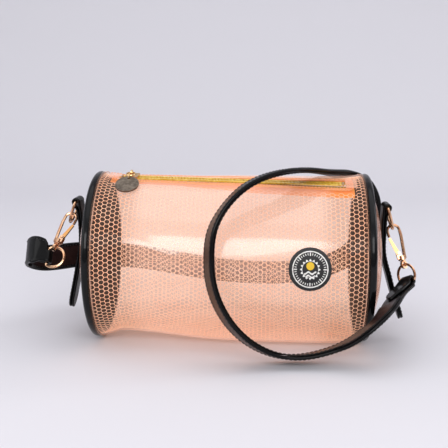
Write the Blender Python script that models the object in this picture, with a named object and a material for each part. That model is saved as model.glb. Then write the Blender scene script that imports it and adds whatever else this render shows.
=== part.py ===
"""Clear barrel shoulder bag with net lining, zip, clip-on strap and end tabs.

Metres, +Z up. The origin is on the floor under the middle of the barrel, +X runs along the
barrel towards the badge end and -Y is the front. Each piece is its own named object.
"""

import math

import bmesh
import bpy
import numpy as np
from mathutils.geometry import tessellate_polygon

# Fits between pieces
FIT = 0.0003                      # clearance where two pieces touch
SMOOTH_ANGLE = math.radians(35)   # edges sharper than this stay sharp

# Barrel wall: a clear film with a net lining sewn inside it
BAG_LENGTH = 0.1964               # over the two piping rings
BAG_DIAMETER = 0.1208             # over a piping ring
FILM_THICK = 0.0008
NET_THICK = 0.0005
NET_GAP = 0.0005                  # between the film and the net
# place along the half length, radius and centre height, as shares of half length and end radius
WALL_SHARES = (
    (-0.947, 0.9967, 1.0000), (-0.876, 0.9652, 1.0033), (-0.794, 0.9404, 1.0199),
    (-0.611, 0.9470, 1.0132), (-0.407, 0.9636, 0.9967), (-0.204, 0.9801, 0.9780),
    (0.000, 0.9917, 0.9735), (0.305, 0.9967, 0.9685), (0.713, 0.9967, 0.9685),
    (0.855, 0.9934, 0.9801), (0.947, 0.9967, 1.0000))
STATION_SHARES = (0.2, 0.45, 0.68)   # rows of the wall mesh between the slot ends
WALL_COLUMNS = 36                 # columns of the wall mesh between the slot edges

# Ends: corded piping, a black panel inside it and a clear puffed disc outside it
PIPING_WIRE = 0.003               # radius of the cord
PIPING_SEGMENTS = 48
PIPING_SIDES = 8
PANEL_THICK = 0.001
PANEL_EDGE = 0.0034               # from the bag's outer radius in to the panel's edge
WALL_END_GAP = 0.0003             # from the wall film's end to the piping's back
NET_END_GAP = 0.0002              # from the net's end back from the film's, past the fit
END_FILM_EDGE = 0.0064            # from the bag's outer radius in to the disc's edge
END_FILM_RISE = 0.0104            # how far the disc puffs out past its edge
END_FILM_SEAT = 0.0017            # from the end of the piping back to the disc's edge
END_RINGS = 5
END_SEGMENTS = 32

# Zip: it runs a little askew over the crown
ZIP_LEFT_FORWARD = 0.0076         # how far in front of the crown its left end lies
ZIP_RIGHT_FORWARD = 0.0194        # and its right end
SLOT_END_GAP = 0.0172             # from the end of the bag to the end of the cut in the film
SLOT_WIDTH = 0.012                # of the cut in the film
NET_SLOT_END_MARGIN = 0.0045      # the cut in the net runs this far past the film's at each end
NET_SLOT_SIDE_MARGIN = 0.005      # and this far past it at each side
TAPE_THICK = 0.0005
TAPE_GAP = 0.0024                 # between the two tapes
TAPE_MARGIN = 0.0005              # from a tape's edge to the edge of the net
TAPE_DEPTH = 0.0013               # from the film's outer face down to the tape
TOOTH_PITCH = 0.0022
TOOTH_LENGTH = 0.0013             # along the zip
TOOTH_HEIGHT = 0.001
TOOTH_TIP = 0.00055               # from the zip's middle line to a tooth's tip
COMB_INNER = 0.0017               # from the middle line to the comb's back strip
COMB_OUTER = 0.0029
COMB_END_GAP = 0.004              # from the end of the slot to the end of the teeth
STOP_GAP = 0.0004
STOP_LENGTH = 0.0013
COVER_LENGTH = 0.008              # folded tape ends that cross the zip at both ends
COVER_SIDE_MARGIN = 0.0015        # past the side of the slot
COVER_THICK = 0.0006
COVER_LIFT = 0.00045              # above the film
COVER_OVERLAP = 0.002             # over the end of the slot

# Slider and pull
SLIDER_LENGTH = 0.009
SLIDER_WIDTH = 0.009
SLIDER_NOSE_WIDTH = 0.0052
SLIDER_PLATE = 0.00095
SLIDER_RAIL = 0.0012
SLIDER_POST_WIDTH = 0.00044
SLIDER_POST_LENGTH = 0.0024
SLIDER_CLEAR = 0.00035            # between the teeth and the slider's top plate
SLIDER_REST_GAP = 0.0024          # between the slider and the left stops when closed
LUG_FORWARD = 0.0012              # the lug stands in front of the middle line
LUG_RADIUS = 0.0019
LUG_HOLE = 0.001
LUG_LIFT = 0.0022                 # from the top plate to the hole's centre
LUG_THICK = 0.0012
PULL_RING_RADIUS = 0.003
PULL_RING_WIRE = 0.0006
PULL_RING_DROOP = math.radians(1)
LINK_RADIUS = 0.0027
LINK_WIRE = 0.0005
TAG_DIAMETER = 0.0166
TAG_THICK = 0.0012
TAG_HOLE = 0.00095
TAG_HOLE_TO_CENTRE = 0.0062
TAG_DROOP = math.radians(18)

# Badge on the front
BADGE_X_SHARE = 0.55              # of the half length
BADGE_ANGLE = math.radians(84.4)  # from the crown down the front
BADGE_RADIUS = 0.0141
BADGE_THICK = 0.0016
BADGE_RING_RADIUS = 0.0118
BADGE_RING_WIDTH = 0.0007
BADGE_RELIEF = 0.0004
SUN_RADIUS = 0.0026
SUN_RISE = 0.0022                 # of the sun's centre above the badge's centre
WAVE_LENGTH = 0.0096
WAVE_WIDTH = 0.0011
WAVE_SWING = 0.0007
WAVE_FALLS = (0.0022, 0.0044)     # of each wave below the badge's centre

# Tabs at the ends: a folded strip that holds a D-ring in its roll
LEATHER = 0.0016
TAB_HALF_WIDTH = 0.0075
TAB_ROLL_INNER = 0.0015
TAB_TIP = 0.009                   # length of a tab's rounded tip
TAB_TIP_SHARE = 0.2               # a tab's width at the end of its tip, as a share of its width
TAB_SETTLE_SHARE = 3.0            # length over which the two layers close, in roll radii
ROLL_OUT = {"right": 0.0126, "left": 0.0138}           # roll centre past the piping
ROLL_HEIGHT_SHARE = {"right": 0.8055, "left": 0.8187}  # of the bag's diameter
TAB_REACH = {"right": 0.0150, "left": 0.0093}          # how far out past the end disc its tip hangs
# places down the inner face: out as shares of the reach, and height as shares of the diameter
TAB_OUT_SHARES = (-0.0067, 0.02, 0.3267, 0.56, 0.8333, 1.0)
TAB_HEIGHT_SHARES = {"right": (0.66, 0.53, 0.39, 0.29, 0.19, 0.127),
                     "left": (0.68, 0.55, 0.42, 0.33, 0.23, 0.164)}

# D-rings, snap hooks and strap rings
DRING_HALF = 0.0092
DRING_DEPTH = 0.0164
DRING_WIRE = 0.0011
DRING_CORNER = 0.002
DRING_LEAN = {"right": math.radians(17.5), "left": math.radians(20.5)}
HOOK_SEAT = {"right": math.radians(100), "left": math.radians(125)}   # place round the D-ring's bow
HOOK_AXIS = {"right": (-0.290, 0.270, 0.918), "left": (0.337, 0.587, 0.736)}
HOOK_HANG = {"right": 0.02265, "left": 0.01995}        # from the hook's base to the D-ring
HOOK_ARCH_HEIGHT = 0.021
HOOK_ARCH_RADIUS = 0.00425
HOOK_WIRE = 0.00105
HOOK_FOOT_WIRE = 0.0012
HOOK_NOSE_HEIGHT = 0.0172
HOOK_BARREL_RADIUS = 0.0028
HOOK_BARREL_FOOT = 0.001          # barrel below the base point
HOOK_BARREL_HEAD = 0.0024         # barrel above the base point
HOOK_ARM_FOOT = 0.0022            # arm's distance from the hook's axis at its foot
HOOK_ARM_SHOULDER = 0.0024        # the same beside the top of the barrel
HOOK_ARM_MIDDLE = 0.0088          # height of the arm's middle point
HOOK_ARM_TOP = 0.0168             # height where the arm runs parallel to the hook's axis
HOOK_BORE = 0.00135
HOOK_COUNTERBORE = 0.0019
HOOK_SHOULDER = 0.0004            # height of the step inside the barrel
CHEEK_THICK = 0.001
GATE_THICK = 0.0014
GATE_PIVOT_BACK = 0.0016          # the gate's rivet, behind the hook's axis
GATE_PIVOT_HEIGHT = 0.0044        # and above the hook's base
GATE_HEEL = 0.0014
GATE_TIP = 0.0008
RIVET_RADIUS = 0.00055
RIVET_HEAD = 0.0012
RIVET_HEAD_THICK = 0.0005
STUD_RADIUS = 0.001
STUD_HEAD_RADIUS = 0.0016
STUD_HEAD_THICK = 0.0009
COLLAR_RADIUS = 0.0021
COLLAR_FOOT_RADIUS = 0.0017
COLLAR_THICK = 0.0013
EYE_DROP = 0.0042                 # from the hook's base to the centre of the stud's eye
EYE_HOLE = 0.00175
EYE_RADIUS = 0.0029
EYE_THICK = 0.0017
STRAP_RING_RADIUS = 0.0076
STRAP_RING_WIRE = 0.00095
STRAP_RING_BAR_HALF = 0.0062
# directions of each strap ring: from its centre to the eye, and along its bar
RING_TO_EYE = {"right": (-0.2, 0.35, 0.9), "left": (0.0, 0.566, 0.824)}
RING_BAR = {"right": (0.6, -0.68, 0.42), "left": (0.0, -0.565, -0.80)}

# Strap: leather with a brown lining, folded round a ring at each end
STRAP_WIDTH = 0.02
STRAP_THICK = 0.0022
STRAP_CHAMFER = 0.0006
STRAP_LINING_THICK = 0.0009
STRAP_LINING_MARGIN = 0.0008      # from the leather's edge to the lining's
STRAP_FOLD_WIDTH = 0.0092
STRAP_TAPER = 0.008               # length over which the strap narrows to its fold
TONGUE_LENGTH = 0.032
TONGUE_WIDTH = 0.0145
TONGUE_TIP_WIDTH = 0.002
TONGUE_TIP_LENGTH = 0.011
TONGUE_SETTLE = 0.009             # length over which the tongue comes down on the strap
LINING_GAP = 0.0025               # from the tip of the folded end to the end of the lining
STRAP_STEP = 0.008                # spacing of the strap's cross sections
# the strap's free route between its rings: places as shares of half length and end radius,
# and the direction across its width
STRAP_ROUTE_SHARES = (
    ((1.2000, -0.4200, 0.6580), (0.48, -0.77, 0.42)),
    ((1.0840, -0.8950, 0.5950), (0.30, -0.87, 0.39)),
    ((0.9480, -1.2000, 0.4730), (0.20, -0.92, 0.33)),
    ((0.7950, -1.1250, 0.2640), (0.20, -0.93, 0.31)),
    ((0.6250, -1.1090, 0.1450), (0.21, -0.93, 0.30)),
    ((0.4380, -1.1150, 0.1000), (0.24, -0.93, 0.29)),
    ((0.2370, -1.1800, 0.1950), (0.27, -0.93, 0.26)),
    ((0.0800, -1.2450, 0.3900), (0.27, -0.93, 0.26)),
    ((-0.0410, -1.3080, 0.6790), (0.27, -0.93, 0.26)),
    ((-0.1000, -1.3250, 0.9520), (0.27, -0.93, 0.26)),
    ((-0.1170, -1.3080, 1.2380), (0.27, -0.93, 0.26)),
    ((-0.0970, -1.2580, 1.5260), (0.27, -0.93, 0.26)),
    ((-0.0160, -1.1590, 1.7680), (0.27, -0.93, 0.26)),
    ((0.1190, -1.0100, 1.9700), (0.30, -0.93, 0.20)),
    ((0.2760, -0.8280, 2.0700), (0.30, -0.94, 0.15)),
    ((0.4640, -0.5400, 2.0950), (0.36, -0.92, 0.12)),
    ((0.6270, -0.1660, 2.0540), (0.50, -0.86, 0.06)),
    ((0.7350, 0.1320, 2.0130), (0.64, -0.76, 0.11)),
    ((0.8310, 0.3970, 1.9580), (0.74, -0.65, 0.20)),
    ((0.9270, 0.5790, 1.8750), (0.80, -0.54, 0.26)),
    ((1.0030, 0.7620, 1.7700), (0.83, -0.52, 0.20)),
    ((1.0720, 0.9350, 1.5900), (0.84, -0.50, -0.10)),
    ((1.1000, 1.0760, 1.3250), (0.75, -0.55, -0.35)),
    ((1.0590, 1.1840, 0.9930), (0.60, -0.64, -0.47)),
    ((0.8760, 1.2580, 0.6950), (0.31, -0.72, -0.62)),
    ((0.5500, 1.2750, 0.5300), (0.10, -0.66, -0.75)),
    ((0.1020, 1.2750, 0.5050), (0.00, -0.60, -0.80)),
    ((-0.3460, 1.2580, 0.5800), (0.00, -0.55, -0.83)),
    ((-0.7640, 1.1590, 0.7120), (0.00, -0.50, -0.86)),
    ((-1.2700, 0.8280, 0.8030), (0.00, -0.40, -0.92)),
    ((-1.3880, 0.5300, 0.8300), (0.00, -0.45, -0.89)),
    ((-1.4870, 0.2650, 0.8760), (0.00, -0.52, -0.85)),
    ((-1.5230, 0.0330, 0.9620), (0.03, -0.56, -0.82)),
    ((-1.4980, -0.1700, 1.0420), (0.05, -0.57, -0.81)),
    ((-1.4200, -0.3300, 1.1000), (0.04, -0.57, -0.81)))

HALF_LENGTH = BAG_LENGTH / 2
END_RADIUS = BAG_DIAMETER / 2
SLOT_LENGTH = BAG_LENGTH - 2 * SLOT_END_GAP
NET_SLOT_LENGTH = SLOT_LENGTH + 2 * NET_SLOT_END_MARGIN
NET_SLOT_WIDTH = SLOT_WIDTH + 2 * NET_SLOT_SIDE_MARGIN
COVER_WIDTH = SLOT_WIDTH + 2 * COVER_SIDE_MARGIN
TOOTH_COUNT = round((SLOT_LENGTH - 2 * COMB_END_GAP) / TOOTH_PITCH)
SIDES = {"right": 1, "left": -1}
TURN = 2 * math.pi
TINY = 1e-9

COLOURS = {
    "wall_film": ((0.95, 0.62, 0.42, 1), 0.12, 0), "end_film": ((0.95, 0.62, 0.42, 1), 0.15, 0),
    "net_lining": ((0.90, 0.60, 0.45, 1), 0.5, 0), "end_panel": ((0.03, 0.03, 0.03, 1), 0.6, 0),
    "piping": ((0.02, 0.02, 0.02, 1), 0.35, 0), "zip_tape": ((0.85, 0.55, 0.15, 1), 0.8, 0),
    "zip_teeth": ((0.90, 0.70, 0.20, 1), 0.4, 0), "zip_stop": ((0.80, 0.60, 0.30, 1), 0.3, 1),
    "zip_cover": ((0.95, 0.60, 0.45, 1), 0.5, 0), "zip_slider": ((0.80, 0.60, 0.30, 1), 0.3, 1),
    "pull_ring": ((0.80, 0.60, 0.35, 1), 0.25, 1), "pull_tag": ((0.20, 0.17, 0.12, 1), 0.5, 1),
    "badge_base": ((0.02, 0.02, 0.02, 1), 0.5, 0), "badge_ring": ((0.90, 0.90, 0.88, 1), 0.5, 0),
    "badge_emblem": ((0.90, 0.88, 0.80, 1), 0.5, 0), "tab": ((0.03, 0.03, 0.03, 1), 0.5, 0),
    "gold": ((0.85, 0.62, 0.42, 1), 0.2, 1), "strap_leather": ((0.03, 0.03, 0.03, 1), 0.4, 0),
    "strap_lining": ((0.12, 0.06, 0.05, 1), 0.6, 0)}


def unit(vector):
    vector = np.array(vector, float)
    return vector / np.linalg.norm(vector)


def square_to(vector, axis):
    """The part of a direction that is square to an axis, at unit length."""
    vector, axis = np.array(vector, float), unit(axis)
    return unit(vector - (vector @ axis) * axis)


def turned(vector, axis, angle):
    """A vector turned about an axis by the right-hand rule."""
    vector, axis = np.array(vector, float), unit(axis)
    return (vector * math.cos(angle) + np.cross(axis, vector) * math.sin(angle)
            + axis * (axis @ vector) * (1 - math.cos(angle)))


def ease(share):
    share = min(max(share, 0.0), 1.0)
    return share * share * (3 - 2 * share)


def material(look):
    existing = bpy.data.materials.get(look)
    if existing:
        return existing
    made = bpy.data.materials.new(look)
    made.use_nodes = True
    colour, roughness, metallic = COLOURS[look]
    shader = made.node_tree.nodes["Principled BSDF"]
    shader.inputs["Base Color"].default_value = colour
    shader.inputs["Roughness"].default_value = roughness
    shader.inputs["Metallic"].default_value = metallic
    made.diffuse_color = colour
    return made


def add_object(name, shape, look, pivot=(0, 0, 0)):
    """An object with its origin at the pivot, from world points and faces."""
    points, faces = shape
    pivot = np.array(pivot, float)
    mesh = bpy.data.meshes.new(name)
    mesh.from_pydata([tuple(np.array(p) - pivot) for p in points], [], faces)
    cage = bmesh.new()
    cage.from_mesh(mesh)
    bmesh.ops.recalc_face_normals(cage, faces=cage.faces)
    cage.to_mesh(mesh)
    cage.free()
    mesh.shade_smooth()
    mesh.set_sharp_from_angle(angle=SMOOTH_ANGLE)
    mesh.materials.append(material(look))
    made = bpy.data.objects.new(name, mesh)
    made.location = pivot
    bpy.context.scene.collection.objects.link(made)
    return made


def combine(name, base, joined, cuts, look, pivot):
    """One solid from a base shape, shapes united with it and shapes cut out of it."""
    made = add_object(name, base, look, pivot)
    helpers = []
    for operation, shapes in (("UNION", joined), ("DIFFERENCE", cuts)):
        for index, shape in enumerate(shapes):
            helper = add_object(f"{name}_{operation.lower()}_{index}", shape, look, pivot)
            helper.hide_render = True
            helper.display_type = "WIRE"
            modifier = made.modifiers.new(helper.name, "BOOLEAN")
            modifier.operation = operation
            modifier.solver = "EXACT"
            modifier.object = helper
            helpers.append(helper)
    bpy.context.view_layer.update()
    graph = bpy.context.evaluated_depsgraph_get()
    finished = bpy.data.meshes.new_from_object(made.evaluated_get(graph))
    made.modifiers.clear()
    made.data = finished
    finished.name = name
    finished.shade_smooth()
    finished.set_sharp_from_angle(angle=SMOOTH_ANGLE)
    for helper in helpers:
        bpy.data.objects.remove(helper)
    return made


def placed(local_points, origin, axes):
    """Local points set out from an origin along three axes."""
    return [np.array(origin) + p[0] * axes[0] + p[1] * axes[1] + p[2] * axes[2]
            for p in local_points]


def circle(radius, count, centre=(0, 0), start=0.0, sweep=TURN):
    """Points round a circle or an arc. A full circle leaves out its last point."""
    steps = count if abs(sweep) >= TURN - TINY else count - 1
    return [(centre[0] + radius * math.cos(start + sweep * k / steps),
             centre[1] + radius * math.sin(start + sweep * k / steps)) for k in range(count)]


def prism(outline, low, high, origin, axes, holes=()):
    """A flat outline with holes, given thickness along the third axis."""
    loops = [list(outline)] + [list(hole) for hole in holes]
    flat = [point for loop in loops for point in loop]
    caps = tessellate_polygon([[(x, y, 0) for x, y in loop] for loop in loops])
    count = len(flat)
    local = [(x, y, low) for x, y in flat] + [(x, y, high) for x, y in flat]
    faces = [tuple(tri) for tri in caps] + [tuple(i + count for i in reversed(tri)) for tri in caps]
    start = 0
    for loop in loops:
        size = len(loop)
        for k in range(size):
            a, b = start + k, start + (k + 1) % size
            faces.append((a, b, b + count, a + count))
        start += size
    return placed(local, origin, axes), faces


def tube(path, radii, sides, normal, closed=False):
    """A round bar along a flat path whose plane has the given normal."""
    path = [np.array(p, float) for p in path]
    normal = unit(normal)
    count = len(path)
    points, faces = [], []
    for k, centre in enumerate(path):
        if closed:
            ahead, behind = path[(k + 1) % count], path[k - 1]
        else:
            ahead, behind = path[min(k + 1, count - 1)], path[max(k - 1, 0)]
        side = unit(np.cross(normal, ahead - behind))
        radius = radii[k] if hasattr(radii, "__len__") else radii
        points.extend(centre + radius * (c * side + s * normal) for c, s in circle(1, sides))
    rings = count if closed else count - 1
    for k in range(rings):
        a, b = k * sides, ((k + 1) % count) * sides
        for j in range(sides):
            nxt = (j + 1) % sides
            faces.append((a + j, a + nxt, b + nxt, b + j))
    if not closed:
        faces.append(tuple(range(sides)))
        faces.append(tuple(range((count - 1) * sides, count * sides)))
    return points, faces


def lathe(profile, origin, axis, segments, closed=False):
    """A profile of (distance along the axis, radius) turned round the axis."""
    axis = unit(axis)
    helper = (0, 0, 1) if abs(axis[2]) < 0.9 else (0, 1, 0)
    across = square_to(helper, axis)
    third = np.cross(axis, across)
    points, rows, faces = [], [], []
    for along, radius in profile:
        middle = np.array(origin) + along * axis
        if radius < TINY:
            rows.append([len(points)] * segments)
            points.append(middle)
            continue
        rows.append(list(range(len(points), len(points) + segments)))
        points.extend(middle + radius * (c * across + s * third) for c, s in circle(1, segments))
    pairs = list(zip(rows, rows[1:])) + ([(rows[-1], rows[0])] if closed else [])
    for low, high in pairs:
        for j in range(segments):
            nxt = (j + 1) % segments
            corners = []
            for i in (low[j], low[nxt], high[nxt], high[j]):
                if i not in corners:
                    corners.append(i)
            if len(corners) > 2:
                faces.append(tuple(corners))
    return points, faces


def ribbon(stations, chamfer):
    """A flat band along stations of centre, width and face directions, with cut edges."""
    points, faces = [], []
    for centre, across, face, half_width, half_thick in stations:
        cut = min(chamfer, half_width / 2, half_thick / 2)
        section = []
        for sign in (1, -1):
            if not chamfer:
                section += [(sign * half_width, sign * half_thick),
                            (-sign * half_width, sign * half_thick)]
                continue
            section += [(sign * half_width, sign * (half_thick - cut)),
                        (sign * (half_width - cut), sign * half_thick),
                        (-sign * (half_width - cut), sign * half_thick),
                        (-sign * half_width, sign * (half_thick - cut))]
        points.extend(centre + a * across + b * face for a, b in section)
    size = len(section)
    for k in range(len(stations) - 1):
        for j in range(size):
            nxt = (j + 1) % size
            faces.append((k * size + j, k * size + nxt, (k + 1) * size + nxt, (k + 1) * size + j))
    faces.append(tuple(range(size)))
    faces.append(tuple(range((len(stations) - 1) * size, len(stations) * size)))
    return points, faces


def skin(outer, inner, wrap, kept=None):
    """A closed shell between two grids of points, with the cells left out that aren't kept."""
    rows, columns = len(outer), len(outer[0])
    points = [p for row in outer for p in row] + [p for row in inner for p in row]
    depth = rows * columns
    faces, edges = [], {}
    for i in range(rows - 1):
        for j in range(columns if wrap else columns - 1):
            if kept and not kept(i, j):
                continue
            nxt = (j + 1) % columns
            cell = (i * columns + j, i * columns + nxt, (i + 1) * columns + nxt,
                    (i + 1) * columns + j)
            faces.append(cell)
            faces.append(tuple(depth + k for k in reversed(cell)))
            for a, b in zip(cell, cell[1:] + cell[:1]):
                if edges.pop((b, a), None) is None:
                    edges[(a, b)] = True
    faces.extend((b, a, a + depth, b + depth) for a, b in edges)
    used = sorted({i for face in faces for i in face})
    order = {old: new for new, old in enumerate(used)}
    return [points[i] for i in used], [tuple(order[i] for i in face) for face in faces]


def read_table(rows, place):
    """A smooth reading of a table whose first column rises."""
    rows = [np.array(row, float) for row in rows]
    place = min(max(place, rows[0][0]), rows[-1][0])
    k = max(i for i in range(len(rows) - 1) if rows[i][0] <= place)
    low, high = rows[k], rows[k + 1]
    before, after = rows[max(k - 1, 0)], rows[min(k + 2, len(rows) - 1)]
    span = high[0] - low[0]
    t = (place - low[0]) / span
    slope_low = (high - before) / (high[0] - before[0]) * span
    slope_high = (after - low) / (after[0] - low[0]) * span
    return ((2 * t ** 3 - 3 * t ** 2 + 1) * low + (t ** 3 - 2 * t ** 2 + t) * slope_low
            + (3 * t ** 2 - 2 * t ** 3) * high + (t ** 3 - t ** 2) * slope_high)


def wall_at(x):
    """Radius and centre height of the wall's outer face at a place along the barrel."""
    _, radius, height = read_table(WALL_SHARES, x / HALF_LENGTH)
    return radius * END_RADIUS, height * END_RADIUS


def zip_angle(x):
    """Angle from the crown forward to the zip's middle line."""
    middle = (ZIP_LEFT_FORWARD + ZIP_RIGHT_FORWARD) / 2
    forward = middle + (ZIP_RIGHT_FORWARD - ZIP_LEFT_FORWARD) * x / SLOT_LENGTH
    return math.asin(forward / wall_at(x)[0])


def on_wall(x, angle, lift):
    """A point over the wall's outer face at an angle from the crown down the front."""
    radius, height = wall_at(x)
    return np.array([x, -(radius + lift) * math.sin(angle),
                     height + (radius + lift) * math.cos(angle)])


def by_zip(x, forward, lift):
    """A point over the wall, a distance in front of the zip's middle line."""
    return on_wall(x, zip_angle(x) + forward / END_RADIUS, lift)


def wall_grid(end, depth):
    """Rows along the barrel and columns round it, from the zip line round and back to it."""
    inner_rows = [HALF_LENGTH * share for share in STATION_SHARES]
    rows = inner_rows + [SLOT_LENGTH / 2, NET_SLOT_LENGTH / 2, end]
    rows = [-x for x in reversed(rows)] + [0.0] + rows
    near, far = SLOT_WIDTH / 2 / END_RADIUS, NET_SLOT_WIDTH / 2 / END_RADIUS
    step = (TURN - 2 * far) / WALL_COLUMNS
    columns = [near] + [far + k * step for k in range(WALL_COLUMNS + 1)] + [TURN - near]
    grid = []
    for x in rows:
        ring = [on_wall(x, zip_angle(x) + angle, -depth) for angle in columns]
        grid.append([np.array([p[0], p[1], max(p[2], depth)]) for p in ring])
    return rows, grid


def make_wall():
    """The clear film and the net lining, each cut open under the zip."""
    column_count = WALL_COLUMNS + 3
    film_end = HALF_LENGTH - 2 * PIPING_WIRE + FIT + WALL_END_GAP
    net_end = film_end - FIT - NET_END_GAP
    middle_cell = (0,)
    wide_cells = (0, 1, column_count - 1)
    layers = (("wall_film", film_end, 0.0, FILM_THICK, SLOT_LENGTH, middle_cell),
              ("net_lining", net_end, FILM_THICK + NET_GAP, NET_THICK, NET_SLOT_LENGTH, wide_cells))
    for name, end, depth, thick, slot, cut_cells in layers:
        rows, outer = wall_grid(end, depth)
        _, inner = wall_grid(end, depth + thick)

        def kept(i, j):
            under_zip = (j - (column_count - 1)) % column_count in cut_cells
            middle = (rows[i] + rows[i + 1]) / 2
            return not (under_zip and abs(middle) < slot / 2)

        add_object(name, skin(outer, inner, True, kept), name)


def make_end(side):
    """Piping, black panel and puffed clear disc of one end."""
    sign = SIDES[side]
    out = np.array([sign, 0, 0])
    middle = np.array([0, 0, END_RADIUS])
    cord_centre = END_RADIUS - PIPING_WIRE
    cord_x = HALF_LENGTH - PIPING_WIRE
    ring = [middle + np.array([sign * cord_x, cord_centre * c, cord_centre * s])
            for c, s in circle(1, PIPING_SEGMENTS)]
    piping = tube(ring, PIPING_WIRE, PIPING_SIDES, out, closed=True)
    add_object(f"piping_{side}", piping, "piping")

    panel_out = cord_x - PIPING_WIRE - FIT
    panel_radius = END_RADIUS - PANEL_EDGE
    panel = [(panel_out - PANEL_THICK, 0), (panel_out - PANEL_THICK, panel_radius),
             (panel_out, panel_radius), (panel_out, 0)]
    add_object(f"end_panel_{side}", lathe(panel, middle, out, PIPING_SEGMENTS), "end_panel")

    edge = END_RADIUS - END_FILM_EDGE
    seat = HALF_LENGTH - END_FILM_SEAT

    def puff(radius):
        return seat + END_FILM_RISE * (1 - (radius / edge) ** 3)

    radii = [edge * k / END_RINGS for k in range(END_RINGS + 1)]
    outer = [(puff(r), r) for r in radii]
    inner = [(puff(r) - FILM_THICK, r) for r in reversed(radii)]
    add_object(f"end_film_{side}", lathe(outer + inner, middle, out, END_SEGMENTS), "end_film")


def zip_line():
    """Origin and axes of the zip's straight line: along, to the front and out."""
    reach = SLOT_LENGTH / 2
    left, right = by_zip(-reach, 0, -TAPE_DEPTH), by_zip(reach, 0, -TAPE_DEPTH)
    along = unit(right - left)
    out = square_to((0, -math.sin(zip_angle(0)), math.cos(zip_angle(0))), along)
    front = np.cross(along, out)
    middle = (left + right) / 2
    heights = [(by_zip(reach * k / 10, 0, -TAPE_DEPTH) - middle) @ out for k in range(-10, 11)]
    lift = max(heights) + FIT
    depth = min(heights) - lift - TAPE_THICK
    return middle + lift * out, (along, front, out), depth


def make_zip():
    """Tapes under the film, two rows of teeth, stops and the folded tape ends."""
    origin, axes, _ = zip_line()
    tape_end = NET_SLOT_LENGTH / 2 - TAPE_MARGIN
    tape_edge = NET_SLOT_WIDTH / 2 - TAPE_MARGIN
    xs = [tape_end * k / 7 for k in range(-7, 8)]
    forwards = [TAPE_GAP / 2 + (tape_edge - TAPE_GAP / 2) * k / 3 for k in range(4)]
    for row, sign in (("front", 1), ("rear", -1)):
        top = [[by_zip(x, sign * f, -TAPE_DEPTH) for f in forwards] for x in xs]
        low = [[by_zip(x, sign * f, -TAPE_DEPTH - TAPE_THICK) for f in forwards] for x in xs]
        add_object(f"zip_tape_{row}", skin(top, low, False), "zip_tape")

        half = TOOTH_PITCH * TOOTH_COUNT / 2
        shift = TOOTH_PITCH / 4 * sign
        outline = [(-half, sign * COMB_OUTER), (half, sign * COMB_OUTER), (half, sign * COMB_INNER)]
        for k in reversed(range(TOOTH_COUNT)):
            centre = -half + TOOTH_PITCH * (k + 1 / 2) + shift / 2
            right, left = centre + TOOTH_LENGTH / 2, centre - TOOTH_LENGTH / 2
            outline += [(right, sign * COMB_INNER), (right, sign * TOOTH_TIP),
                        (left, sign * TOOTH_TIP), (left, sign * COMB_INNER)]
        outline.append((-half, sign * COMB_INNER))
        add_object(f"zip_teeth_{row}", prism(outline, 0, TOOTH_HEIGHT, origin, axes), "zip_teeth")

    near = TOOTH_PITCH * TOOTH_COUNT / 2 + STOP_GAP
    far = near + STOP_LENGTH
    across = [(near, -COMB_OUTER), (far, -COMB_OUTER), (far, COMB_OUTER), (near, COMB_OUTER)]
    stop = prism(across, 0, TOOTH_HEIGHT, origin, axes)
    add_object("zip_stop_right", stop, "zip_stop")
    for row, sign in (("front", 1), ("rear", -1)):
        block = [(-near, sign * TOOTH_TIP), (-far, sign * TOOTH_TIP),
                 (-far, sign * COMB_OUTER), (-near, sign * COMB_OUTER)]
        left_stop = prism(block, 0, TOOTH_HEIGHT, origin, axes)
        add_object(f"zip_stop_left_{row}", left_stop, "zip_stop")

    for side, sign in SIDES.items():
        start = SLOT_LENGTH / 2 - COVER_OVERLAP
        xs = [sign * (start + COVER_LENGTH * k / 3) for k in range(4)]
        forwards = [COVER_WIDTH * (k / 6 - 1 / 2) for k in range(7)]
        top = [[by_zip(x, f, COVER_LIFT + COVER_THICK) for f in forwards] for x in xs]
        low = [[by_zip(x, f, COVER_LIFT) for f in forwards] for x in xs]
        add_object(f"zip_cover_{side}", skin(top, low, False), "zip_cover")


def slider_middle():
    """The slider's middle on the zip line when the bag is closed."""
    origin, axes, _ = zip_line()
    reach = TOOTH_PITCH * TOOTH_COUNT / 2 + STOP_GAP - SLIDER_REST_GAP - SLIDER_LENGTH / 2
    return origin - reach * axes[0], axes


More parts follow.
